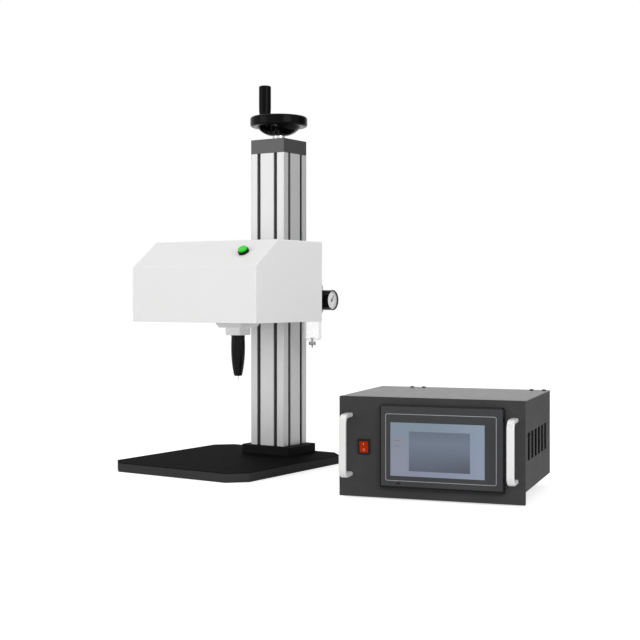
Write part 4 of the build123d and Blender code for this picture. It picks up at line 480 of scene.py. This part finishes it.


# Bowl: clear polycarbonate, its wall shows grey where it is seen along its length, with a painted
# white glow where it is seen face-on
bowlLook = {"cloud": 60, "cloudDetail": 3, "cloudAlpha": 0.04, "blend": 0.25,
            "clear": (0.93, 0.935, 0.935), "wall": (0.32, 0.33, 0.33),
            "wallFrom": 0.24, "wallTo": 0.66, "alphaFrom": 0.20, "alphaClear": 0.14,
            "alphaWall": 0.72, "rough": 0.16, "roughVary": 0.04, "specular": 0.35, "glow": 0.26}


def bowlFinish():
    look = bowlLook
    finish = Finish("bowlClear")
    cloud = finish.noise(finish.place(), look["cloud"], look["cloudDetail"]) - noiseMiddle
    rim = finish.node("ShaderNodeLayerWeight", {}, {"Blend": look["blend"]}, "Facing")
    wall = finish.ramp(rim, look["wallFrom"], look["wallTo"])
    alpha = finish.ramp(rim, look["alphaFrom"], look["wallTo"], look["alphaClear"], look["alphaWall"])
    finish.set(
        colour=finish.mix(wall, look["clear"], look["wall"]),
        rough=look["rough"] + cloud * (2 * look["roughVary"]),
        specular=look["specular"],
        # painted glow, white where the bowl is seen face-on
        glow=finish.mix(wall, (1.0, 1.0, 1.0), (0.0, 0.0, 0.0)),
        glowStrength=look["glow"],
        alpha=alpha + cloud * look["cloudAlpha"],
    )
    return finish


# Cabinet: where it stands and how it is turned. Its own x runs along the panel, y into the cabinet
cabinetTurn = radians(14)
cabinetSpot = Vector((0.341, -0.307, 0))
cabinetPlace = Matrix.Translation(cabinetSpot) @ Matrix.Rotation(cabinetTurn, 4, "Z")


def cabinetCoordinates(finish):
    back = Matrix.Rotation(-cabinetTurn, 4, "Z") @ cabinetSpot
    return finish.parts(finish.place(turn=-cabinetTurn, shift=(-back.x, -back.y, 0)))


# Screen surround: a grey film on its front, glossy black moulding on bevels and sides, and a black
# band of painted shade along the bottom of the front where the surround's shadow falls
mouldLook = {"colour": (0.0035, 0.0035, 0.0040), "rough": 0.15, "film": -0.0079, "filmEnd": -0.0076,
             "lip": 0.0225, "lipEnd": 0.0229}


def bezelFinish():
    look = mouldLook
    finish = coatFinish("bezelMould")
    y, z = cabinetCoordinates(finish)[1:]
    behind = finish.ramp(y, look["film"], look["filmEnd"])
    # painted shade: a black band along the bottom of the front, for the shadow under the surround
    paintedShadeBand = finish.under(z, look["lip"], look["lipEnd"])
    mouldAndShadeBand = (behind + paintedShadeBand).clipped()
    finish.set(
        colour=finish.mix(mouldAndShadeBand, finish.fed("Base Color"), look["colour"]),
        rough=finish.fed("Roughness") + mouldAndShadeBand * (look["rough"] - coats["bezelMould"]["rough"]),
    )
    return finish


# Inside the cabinet: plated supply at the left, green board at the right with dark chips on it
boardLook = {"plated": (0.42, 0.42, 0.43), "metal": 0.6, "chips": (0.018, 0.018, 0.020),
             "between": 0.146, "chipsFrom": 0.03215}


def electronicsFinish():
    look = boardLook
    finish = coatFinish("boardPaint")
    x, y, z = cabinetCoordinates(finish)
    supply = x < look["between"]
    board = finish.mix(z > look["chipsFrom"], finish.fed("Base Color"), look["chips"])
    finish.set(colour=finish.mix(supply, board, look["plated"]), metal=supply * look["metal"])
    return finish


# Screen: pale border, darker window, lavender list at the left. The boxes and spans are shares of
# the picture: left, right, low, high
screenLook = {
    "left": 0.089, "low": 0.039, "wide": 0.154, "high": 0.086, "soft": 0.004,
    "windowShare": (0.20, 0.848, 0.10, 0.84), "listShare": (0.02, 0.175, 0.07, 0.76),
    "face": (0.01, 0.011, 0.014), "rough": 0.18, "roughHaze": 0.04, "specular": 0.3, "glow": 1.32,
    "haze": 700, "hazeDetail": 2, "hazeFrom": 0.3, "hazeShare": 0.25,
    "hazeColour": (0.16, 0.18, 0.24),
}
borderLook = {"low": (0.158, 0.172, 0.235), "high": (0.135, 0.178, 0.222), "upSpan": (0.1, 0.95),
              "right": (0.185, 0.232, 0.298), "acrossSpan": (0.5, 1.0), "rightShare": 0.6}
windowLook = {"dim": (0.045, 0.052, 0.078), "lit": (0.092, 0.118, 0.155), "litAt": 0.62,
              "litReach": 0.6, "corner": (0.030, 0.031, 0.045), "cornerShare": 0.6,
              "acrossSpan": (0.35, 0.85), "upSpan": (0.1, 0.45)}
listLook = {"low": (0.168, 0.182, 0.236), "high": (0.156, 0.170, 0.213), "upSpan": (0.07, 0.7),
            "rows": (0.66, 0.56), "rowSpan": (0.006, 0.012), "rowFrom": (0.03, 0.035),
            "rowTo": (0.10, 0.11), "ink": (0.05, 0.05, 0.08), "inkShare": 0.35}


def screenFinish():
    look = screenLook
    finish = Finish("litScreen")
    x, y, z = cabinetCoordinates(finish)
    across = (x - look["left"]) / look["wide"]
    up = (z - look["low"]) / look["high"]
    soft = look["soft"]

    def inside(box):
        left, right, low, high = box
        sides = finish.ramp(across, left - soft, left + soft)
        sides = sides * finish.under(across, right - soft, right + soft)
        ends = finish.ramp(up, low - soft, low + soft)
        return sides * ends * finish.under(up, high - soft, high + soft)

    def border():
        colour = finish.mix(
            finish.ramp(up, *borderLook["upSpan"]), borderLook["low"], borderLook["high"])
        share = finish.ramp(across, *borderLook["acrossSpan"]) * borderLook["rightShare"]
        return finish.mix(share, colour, borderLook["right"])

    def window():
        lit = finish.under(abs(up - windowLook["litAt"]), 0.0, windowLook["litReach"])
        colour = finish.mix(lit, windowLook["dim"], windowLook["lit"])
        corner = finish.ramp(across, *windowLook["acrossSpan"])
        corner = corner * finish.under(up, *windowLook["upSpan"])
        return finish.mix(corner * windowLook["cornerShare"], colour, windowLook["corner"])

    def listed():
        colour = finish.mix(finish.ramp(up, *listLook["upSpan"]), listLook["low"], listLook["high"])
        upper, lower = [
            finish.under(abs(up - height), *listLook["rowSpan"]) for height in listLook["rows"]
        ]
        rows = (upper + lower).clipped()
        rows = rows * finish.ramp(across, *listLook["rowFrom"])
        rows = rows * finish.under(across, *listLook["rowTo"])
        return finish.mix(rows * listLook["inkShare"], colour, listLook["ink"])

    picture = finish.mix(inside(look["listShare"]), border(), listed())
    picture = finish.mix(inside(look["windowShare"]), picture, window())
    haze = finish.noise(finish.place(), look["haze"], look["hazeDetail"])
    veil = (haze - look["hazeFrom"]).clipped() * look["hazeShare"]
    finish.set(
        colour=look["face"],
        rough=look["rough"] + haze * look["roughHaze"],
        specular=look["specular"],
        glow=finish.mix(veil, picture, look["hazeColour"]),
        glowStrength=look["glow"],
    )
    return finish


makers = {
    "columnMetal": columnFinish, "baseCoat": baseFinish, "bezelMould": bezelFinish,
    "boardPaint": electronicsFinish, "blackPhenolic": wheelFinish, "greenGloss": buttonFinish,
    "redGloss": rockerFinish, "litScreen": screenFinish, "bowlClear": bowlFinish,
    "glassClear": glassFinish,
}
finishes = {name: coatFinish(name) for name in coats if name not in makers}
finishes.update({name: metalFinish(name) for name in metals if name not in makers})
finishes.update({name: threadFinish(name) for name in threads})
finishes.update({name: maker() for name, maker in makers.items()})
print("stage 2:", len(finishes), "finishes")

# CAD nodes: which finish, and how wide the softened edge is in mm (0 keeps it sharp)
dressing = {
    "base_plate": ("baseCoat", 0.6), "column_flange": ("footCoat", 0.4),
    "column": ("columnMetal", 0.25), "stand_screws": ("blackOxide", 0.15),
    "top_cap": ("capMetal", 0.3), "screw_bearings": ("polishedSteel", 0.1),
    "cabinet_case": ("cabinetCoat", 0.2), "cabinet_lid": ("lidCoat", 0.3),
    "front_panel": ("cabinetCoat", 0.4), "screen_bezel": ("bezelMould", 0.5),
    "screen": ("litScreen", 0), "cabinet_handles": ("handleMetal", 0.2),
    "switch_frame": ("blackMould", 0.3), "cabinet_feet": ("blackRubber", 0.6),
    "power_inlet": ("blackMould", 0.2), "rear_sockets": ("groundSteel", 0.2),
    "cabinet_electronics": ("boardPaint", 0.1),
    "lift_screw": ("liftThread", 0.1), "wheel_collar": ("turnedSteel", 0.2),
    "handwheel": ("blackPhenolic", 0.4), "wheel_nut": ("turnedSteel", 0.2),
    "handle_spindle": ("groundSteel", 0.2), "handle_grip": ("blackPhenolic", 0.3),
    "slide_sleeve": ("sleeveMetal", 0.4), "guide_pads": ("padPlastic", 0.2),
    "nut_arm": ("groundSteel", 0.3), "lift_nut": ("bronzeMetal", 0.2),
    "slide_screws": ("blackOxide", 0.15), "head_frame": ("frameMetal", 0.3),
    "y_rails": ("groundSteel", 0.2), "y_motor": ("motorMetal", 0.2),
    "head_cover": ("whiteCoat", 0.3), "head_base": ("whiteCoat", 0.2),
    "cover_screws": ("blackOxide", 0.1), "button_housing": ("blackMould", 0.2),
    "air_valve": ("blackMould", 0.3), "head_socket": ("groundSteel", 0.2),
    "regulator_bracket": ("groundSteel", 0.3), "regulator_body": ("casting", 0.3),
    "regulator_bowl": ("bowlClear", 0), "air_inlet": ("blackMould", 0.2),
    "gauge_case": ("stylusCoat", 0.3), "gauge_dial": ("dialPaint", 0),
    "gauge_glass": ("glassClear", 0),
    "start_button": ("greenGloss", 0.2), "regulator_knob": ("blackMould", 0.2),
    "gauge_pointer": ("inkBlack", 0), "drain_valve": ("drainMetal", 0.15),
    "y_blocks": ("groundSteel", 0.2), "x_beam": ("frameMetal", 0.2),
    "x_rail": ("groundSteel", 0.2), "x_motor": ("motorMetal", 0.2),
    "y_screw": ("yThread", 0.1), "x_screw": ("xThread", 0.1),
    "x_slider": ("frameMetal", 0.3), "stylus_mount": ("mountMetal", 0.3),
    "stylus_body": ("stylusCoat", 0.3), "needle_spring": ("groundSteel", 0.1),
    "needle": ("polishedSteel", 0.05), "power_rocker": ("redGloss", 0.2),
}


def only(piece):
    bpy.ops.object.select_all(action="DESELECT")
    piece.select_set(True)
    bpy.context.view_layer.objects.active = piece


def coat(piece, finishName):
    piece.data.materials.clear()
    piece.data.materials.append(finishes[finishName].material)


def applied(piece, kind, **settings):
    only(piece)
    modifier = piece.modifiers.new(kind.lower(), kind)
    for key, value in settings.items():
        setattr(modifier, key, value)
    bpy.ops.object.modifier_apply(modifier=modifier.name)


smoothAngle = radians(32)


def smoothed(piece):
    only(piece)
    bpy.ops.object.shade_smooth_by_angle(angle=smoothAngle)


# A softened copy of a CAD node: joined triangles, edges eased by a small bevel. Angles in degrees
easing = {"merge": 0.000002, "flat": 0.6, "corner": 38, "segments": 2, "weight": 100}


def dress(nodeName):
    finishName, edge = dressing[nodeName]
    node = frame["nodes"][nodeName]
    coat(node, finishName)
    if not edge:
        return node
    only(node)
    bpy.ops.object.duplicate()
    piece = bpy.context.object
    piece.name = "eased." + nodeName
    piece.parent = None
    del piece["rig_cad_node"]
    only(piece)
    bpy.ops.object.mode_set(mode="EDIT")
    bpy.ops.mesh.select_all(action="SELECT")
    bpy.ops.mesh.remove_doubles(threshold=easing["merge"])
    bpy.ops.mesh.dissolve_limited(angle_limit=radians(easing["flat"]), delimit={"NORMAL"})
    bpy.ops.object.mode_set(mode="OBJECT")
    applied(piece, "BEVEL", width=edge * mm, segments=easing["segments"], limit_method="ANGLE",
            angle_limit=radians(easing["corner"]), use_clamp_overlap=True, miter_outer="MITER_ARC")
    smoothed(piece)
    applied(piece, "WEIGHTED_NORMAL", mode="FACE_AREA", weight=easing["weight"], keep_sharp=True)
    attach(piece, node["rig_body"])
    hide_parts(nodeName)
    return piece


dressed = {name: dress(name) for name in dressing}
bpy.ops.object.select_all(action="DESELECT")
print("stage 3: nodes dressed")


# A new piece is modelled near the origin, then moved to its place in its mesh and given its body
def settle(piece, name, finishName, body, place):
    only(piece)
    bpy.ops.object.transform_apply(location=True, rotation=True, scale=True)
    piece.data.transform(place)
    piece.name = name
    coat(piece, finishName)
    smoothed(piece)
    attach(piece, body)


# In edit mode: selects the faces whose normal points that way
def facing(piece, direction, near=0.9):
    bpy.ops.mesh.select_all(action="DESELECT")
    bpy.ops.object.mode_set(mode="OBJECT")
    for face in piece.data.polygons:
        face.select = face.normal.dot(Vector(direction)) > near
    bpy.ops.object.mode_set(mode="EDIT")


# Silver line round the display, set into the surround
lineFrame = {"middle": (0.1715, 0.0850), "size": (0.181, 0.108), "wide": 0.0009, "front": -0.00815,
             "thick": 0.0004, "corner": 0.003, "cornerSegments": 5}


def silverLine():
    look = lineFrame
    bpy.ops.mesh.primitive_plane_add(size=1, location=(0, 0, 0))
    piece = bpy.context.object
    piece.scale = (look["size"][0], look["size"][1], 1)
    bpy.ops.object.transform_apply(scale=True)
    bpy.ops.object.mode_set(mode="EDIT")
    bpy.ops.mesh.select_all(action="SELECT")
    bpy.ops.mesh.bevel(offset=look["corner"], segments=look["cornerSegments"], affect="VERTICES")
    bpy.ops.mesh.inset(thickness=look["wide"])
    bpy.ops.mesh.delete(type="FACE")
    bpy.ops.mesh.select_all(action="SELECT")
    bpy.ops.mesh.extrude_region_move(TRANSFORM_OT_translate={"value": (0, 0, look["thick"])})
    bpy.ops.mesh.select_all(action="SELECT")
    bpy.ops.mesh.normals_make_consistent(inside=False)
    bpy.ops.object.mode_set(mode="OBJECT")
    across, high = look["middle"]
    spot = Matrix.Translation((across, look["front"] + look["thick"], high))
    place = cabinetPlace @ spot @ Matrix.Rotation(radians(90), 4, "X")
    settle(piece, "silverLine", "drainMetal", "stand", place)


silverLine()

# Pan screws near the lid's rear edge, at shares of the panel's width
lidScrew = {"across": 0.007, "high": 0.002, "recess": 0.0022, "edge": 0.0008, "edgeSegments": 3,
            "sides": 28, "fromBack": 0.014, "shares": (0.2, 0.27, 0.9, 0.97), "top": 0.1645,
            "panel": 0.306, "depth": 0.240}


def lidScrews():
    look = lidScrew
    for number, share in enumerate(look["shares"], 1):
        bpy.ops.mesh.primitive_cylinder_add(
            vertices=look["sides"], radius=look["across"] / 2, depth=look["high"],
            location=(look["panel"] * share, look["depth"] - look["fromBack"],
                      look["top"] + look["high"] / 2))
        piece = bpy.context.object
        bpy.ops.object.mode_set(mode="EDIT")
        facing(piece, (0, 0, 1))
        bpy.ops.mesh.bevel(offset=look["edge"], segments=look["edgeSegments"])
        facing(piece, (0, 0, 1), near=0.99)
        bpy.ops.mesh.inset(thickness=look["across"] / 2 - look["edge"] - look["recess"] / 2)
        drop = (0, 0, -look["high"] / 2)
        bpy.ops.mesh.extrude_region_move(TRANSFORM_OT_translate={"value": drop})
        bpy.ops.object.mode_set(mode="OBJECT")
        settle(piece, "lidScrew" + str(number), "blackOxide", "stand", cabinetPlace)


lidScrews()


# Small dark window of a lamp, low on the surround
bezelWindow = {"middle": (0.1022, 0.0272), "size": (0.0075, 0.003), "front": -0.008, "thick": 0.0005,
               "edge": 0.0002, "edgeSegments": 2}


def lampWindow():
    look = bezelWindow
    bpy.ops.mesh.primitive_cube_add(
        size=1, location=(look["middle"][0], look["front"], look["middle"][1]),
        scale=(look["size"][0], look["thick"], look["size"][1]))
    piece = bpy.context.object
    applied(piece, "BEVEL", width=look["edge"], segments=look["edgeSegments"])
    settle(piece, "lampWindow", "inkBlack", "stand", cabinetPlace)


lampWindow()


# Where a ray meets a node, and a frame that stands on the surface there
def stoodOn(nodeName, origin, direction, across):
    bpy.context.view_layer.update()
    node = dressed[nodeName]
    inverse = node.matrix_world.inverted()
    start = inverse @ Vector(origin)
    way = inverse.to_3x3() @ Vector(direction)
    spot, normal = node.ray_cast(start, way)[1:3]
    spot = node.matrix_world @ spot
    up = (node.matrix_world.to_3x3() @ normal).normalized()
    side = (Vector(across) - up * up.dot(Vector(across))).normalized()
    third = up.cross(side)
    turn = Matrix((side, third, up)).transposed().to_4x4()
    return Matrix.Translation(spot) @ turn


# Pale marks on the two halves of the rocker, found by a ray from in front of the panel
rockerMarks = {"x": 0.0425, "z": 0.083, "rise": 0.0048, "away": 0.03, "bar": (0.0009, 0.0034),
               "ring": 0.0015, "wire": 0.00028, "lift": 0.00008, "ringParts": 28, "wireParts": 8}


def rockerSigns():
    look = rockerMarks
    inward = cabinetPlace.to_3x3() @ Vector((0, 1, 0))
    sideways = cabinetPlace.to_3x3() @ Vector((1, 0, 0))
    for name, rise in (("signOn", look["rise"]), ("signOff", -look["rise"])):
        start = cabinetPlace @ Vector((look["x"], -look["away"], look["z"] + rise))
        stand = stoodOn("power_rocker", start, inward, sideways)
        if name == "signOn":
            bpy.ops.mesh.primitive_cube_add(
                size=1, location=(0, 0, 0),
                scale=(look["bar"][0], look["bar"][1], 2 * look["lift"]))
        else:
            bpy.ops.mesh.primitive_torus_add(
                major_segments=look["ringParts"], minor_segments=look["wireParts"],
                major_radius=look["ring"], minor_radius=look["wire"], location=(0, 0, 0))
            bpy.context.object.scale = (1, 1, look["lift"] / look["wire"])
        settle(bpy.context.object, name, "markPale", "rocker", stand)


rockerSigns()
print("stage 4: cabinet trim")

# Gauge: ticks, rim line and figures on the dial, modelled flat and turned to face +X
gauge = {
    "place": (0.13232, -0.010, 0.320), "radius": 0.0160, "sides": 72, "line": 0.0003,
    "tick": 0.0026, "tickWide": 0.00045, "short": 0.0014, "shortWide": 0.00022, "thick": 0.00004,
    "first": 225, "sweep": 270, "steps": 10, "parts": 5,
    "figureEvery": 2, "figure": 0.0031, "figureRadius": 0.0108,
}
gaugePlace = Matrix.Translation(gauge["place"]) @ Matrix(
    ((0, 0, 1, 0), (1, 0, 0, 0), (0, 1, 0, 0), (0, 0, 0, 1)))


def gaugeTicks():
    look = gauge
    count = look["steps"] * look["parts"]
    bpy.ops.mesh.primitive_circle_add(
        vertices=look["sides"], radius=look["radius"], fill_type="NOTHING")
    piece = bpy.context.object
    bpy.ops.object.mode_set(mode="EDIT")
    bpy.ops.mesh.select_all(action="SELECT")
    bpy.ops.mesh.extrude_edges_move()
    share = 1 - look["line"] / look["radius"]
    bpy.ops.transform.resize(value=(share, share, 1))
    bpy.ops.object.mode_set(mode="OBJECT")
    strokes = [piece]
    for step in range(count + 1):
        long = step % look["parts"] == 0
        length = look["tick"] if long else look["short"]
        wide = look["tickWide"] if long else look["shortWide"]
        angle = radians(look["first"] - look["sweep"] * step / count)
        reach = look["radius"] - length / 2
        bpy.ops.mesh.primitive_plane_add(
            size=1, location=(reach * cos(angle), reach * sin(angle), 0),
            rotation=(0, 0, angle))
        bpy.context.object.scale = (length, wide, 1)
        strokes.append(bpy.context.object)
    only(piece)
    for stroke in strokes:
        stroke.select_set(True)
    bpy.ops.object.join()
    bpy.ops.object.mode_set(mode="EDIT")
    bpy.ops.mesh.select_all(action="SELECT")
    bpy.ops.mesh.extrude_region_move(TRANSFORM_OT_translate={"value": (0, 0, look["thick"])})
    bpy.ops.mesh.select_all(action="SELECT")
    bpy.ops.mesh.normals_make_consistent(inside=False)
    bpy.ops.object.mode_set(mode="OBJECT")
    settle(piece, "gaugeTicks", "inkBlack", "head", gaugePlace)


def gaugeFigures():
    look = gauge
    made = []
    for step in range(0, look["steps"] + 1, look["figureEvery"]):
        angle = radians(look["first"] - look["sweep"] * step / look["steps"])
        reach = look["figureRadius"]
        bpy.ops.object.text_add(location=(reach * cos(angle), reach * sin(angle), 0))
        figure = bpy.context.object
        figure.data.body = str(step)
        figure.data.size = look["figure"]
        figure.data.align_x = "CENTER"
        figure.data.align_y = "CENTER"
        figure.data.extrude = look["thick"] / 2
        bpy.ops.object.convert(target="MESH")
        made.append(bpy.context.object)
    only(made[0])
    for piece in made:
        piece.select_set(True)
    bpy.ops.object.join()
    settle(bpy.context.object, "gaugeFigures", "inkBlack", "head", gaugePlace)


gaugeTicks()
gaugeFigures()
print("stage 5: gauge")

# Sockets: a dark insert with gilt pins at the bottom of each bore, one pin in the middle
pins = {"insert": 0.0067, "sides": 40, "thick": 0.0006, "edge": 0.0001, "edgeSegments": 2,
        "pin": 0.00055, "pinSides": 12, "tipRings": 6, "length": 0.0045,
        "circle": 0.0036, "count": 5}


def socketPins(name, body, place):
    look = pins
    bpy.ops.mesh.primitive_cylinder_add(
        vertices=look["sides"], radius=look["insert"], depth=look["thick"],
        location=(0, 0, look["thick"] / 2))
    insert = bpy.context.object
    applied(insert, "BEVEL", width=look["edge"], segments=look["edgeSegments"])
    settle(insert, name + "Insert", "blackMould", body, place)
    spots = [(0, 0)]
    for index in range(look["count"]):  # a gap is left where the key would be
        angle = 2 * pi * (index + 0.5) / (look["count"] + 1)
        spots.append((look["circle"] * cos(angle), look["circle"] * sin(angle)))
    for number, (x, y) in enumerate(spots):
        bpy.ops.mesh.primitive_uv_sphere_add(
            segments=look["pinSides"], ring_count=look["tipRings"], radius=look["pin"],
            location=(x, y, look["length"]))
        if number == 0:
            piece = bpy.context.object
            bpy.ops.object.mode_set(mode="EDIT")
        bpy.ops.mesh.primitive_cylinder_add(
            vertices=look["pinSides"], radius=look["pin"], depth=look["length"],
            location=(x, y, look["length"] / 2))
    bpy.ops.object.mode_set(mode="OBJECT")
    settle(piece, name + "Pins", "contactGold", body, place)


outward = Matrix.Rotation(radians(-90), 4, "X")

# Blue release ring in the mouth of the air fitting
releaseRing = {"place": (0.0872, 0.0330, 0.320), "radius": 0.0051, "wire": 0.0010,
               "ringParts": 40, "wireParts": 12}


def inletRing():
    look = releaseRing
    bpy.ops.mesh.primitive_torus_add(
        major_segments=look["ringParts"], minor_segments=look["wireParts"],
        major_radius=look["radius"], minor_radius=look["wire"], location=(0, 0, 0))
    place = Matrix.Translation(look["place"]) @ outward
    settle(bpy.context.object, "inletRing", "ringBlue", "head", place)


inletRing()

# Floors of the socket bores: the head's in the shared frame, the cabinet's in its own
headBore = (-0.095, -0.0576, 0.400)
rearBores = {"across": (0.156, 0.111, 0.066), "back": 0.244, "height": 0.060}
socketPins("headSocket", "head", Matrix.Translation(headBore) @ outward)
for number, across in enumerate(rearBores["across"], 1):
    bore = Matrix.Translation((across, rearBores["back"], rearBores["height"]))
    socketPins("rearSocket" + str(number), "stand", cabinetPlace @ bore @ outward)
print("stage 6: sockets")

# Light and floor: watts, and metres for the places. The background is white only where it is seen
stage = {
    "worldLight": 0.52, "worldSeen": 1.0,
    "floor": (0.80, 0.80, 0.80), "floorLift": 0.62, "floorSize": 40, "floorDrop": 0.0003,
    "key": {"spot": (-1.5, -2.7, 1.0), "size": 1.6, "power": 20},
    "low": {"spot": (1.1, -2.5, 0.22), "size": 1.2, "power": 5.5},
    "fill": {"spot": (2.7, -1.0, 1.1), "size": 1.5, "power": 26},
    "top": {"spot": (-0.3, -0.6, 2.6), "size": 1.8, "power": 9},
    "aim": (0.12, -0.12, 0.3),
    "card": {"spot": (1.25, 1.75, 0.5), "size": 2.0, "glow": 0.16},
}
white = (1, 1, 1, 1)


# One where a ray comes from the camera, a mirror or clear glass, else zero
def seenBy(tree):
    rays = tree.nodes.new("ShaderNodeLightPath")
    seen = rays.outputs["Is Camera Ray"]
    for kind in ("Is Glossy Ray", "Is Transmission Ray"):
        either = tree.nodes.new("ShaderNodeMath")
        either.operation = "MAXIMUM"
        tree.links.new(seen, either.inputs[0])
        tree.links.new(rays.outputs[kind], either.inputs[1])
        seen = either.outputs[0]
    return seen


def studioWorld():
    world = bpy.data.worlds.new("studio")
    bpy.context.scene.world = world
    world.use_nodes = True
    tree = world.node_tree
    tree.nodes.clear()
    out = tree.nodes.new("ShaderNodeOutputWorld")
    sky = tree.nodes.new("ShaderNodeBackground")
    sky.inputs["Color"].default_value = white
    level = tree.nodes.new("ShaderNodeMapRange")
    level.inputs["To Min"].default_value = stage["worldLight"]
    level.inputs["To Max"].default_value = stage["worldSeen"]
    tree.links.new(seenBy(tree), level.inputs["Value"])
    tree.links.new(level.outputs[0], sky.inputs["Strength"])
    tree.links.new(sky.outputs[0], out.inputs[0])


def softbox(name):
    look = stage[name]
    lamp = bpy.data.lights.new(name, "AREA")
    lamp.shape = "SQUARE"
    lamp.size = look["size"]
    lamp.energy = look["power"]
    box = bpy.data.objects.new(name, lamp)
    bpy.context.scene.collection.objects.link(box)
    box.location = look["spot"]
    aim = Vector(stage["aim"]) - Vector(look["spot"])
    box.rotation_euler = aim.to_track_quat("-Z", "Y").to_euler()


studioWorld()
for name in ("key", "low", "fill", "top"):
    softbox(name)


def stageMaterial(name):
    material = bpy.data.materials.new(name)
    material.use_nodes = True
    tree = material.node_tree
    tree.nodes.clear()
    glow = tree.nodes.new("ShaderNodeEmission")
    glow.inputs["Color"].default_value = white
    return material, tree, tree.nodes.new("ShaderNodeOutputMaterial"), glow


def floorFinish():
    material, tree, out, lift = stageMaterial("floor")
    paper = tree.nodes.new("ShaderNodeBsdfDiffuse")
    paper.inputs["Color"].default_value = stage["floor"] + (1,)
    share = tree.nodes.new("ShaderNodeMath")
    share.operation = "MULTIPLY"
    share.inputs[1].default_value = stage["floorLift"]
    both = tree.nodes.new("ShaderNodeAddShader")
    tree.links.new(seenBy(tree), share.inputs[0])
    tree.links.new(share.outputs[0], lift.inputs["Strength"])
    tree.links.new(paper.outputs[0], both.inputs[0])
    tree.links.new(lift.outputs[0], both.inputs[1])
    tree.links.new(both.outputs[0], out.inputs[0])
    return material


def paleFloor():
    bpy.ops.mesh.primitive_plane_add(size=stage["floorSize"], location=(0, 0, -stage["floorDrop"]))
    floor = bpy.context.object
    floor.name = "floor"
    floor.data.materials.append(floorFinish())


# Grey card behind on the right, seen only in reflections
def greyCard():
    look = stage["card"]
    bpy.ops.mesh.primitive_plane_add(size=look["size"], location=look["spot"])
    card = bpy.context.object
    card.name = "greyCard"
    aim = Vector((0, 0, look["spot"][2])) - Vector(look["spot"])
    card.rotation_euler = aim.to_track_quat("Z", "Y").to_euler()
    material, tree, out, glow = stageMaterial("greyCard")
    glow.inputs["Strength"].default_value = look["glow"]
    tree.links.new(glow.outputs[0], out.inputs[0])
    card.data.materials.append(material)
    card.visible_camera = False
    card.visible_diffuse = False
    card.visible_shadow = False
    card.visible_transmission = False


paleFloor()
greyCard()
print("stage 7: light and floor")
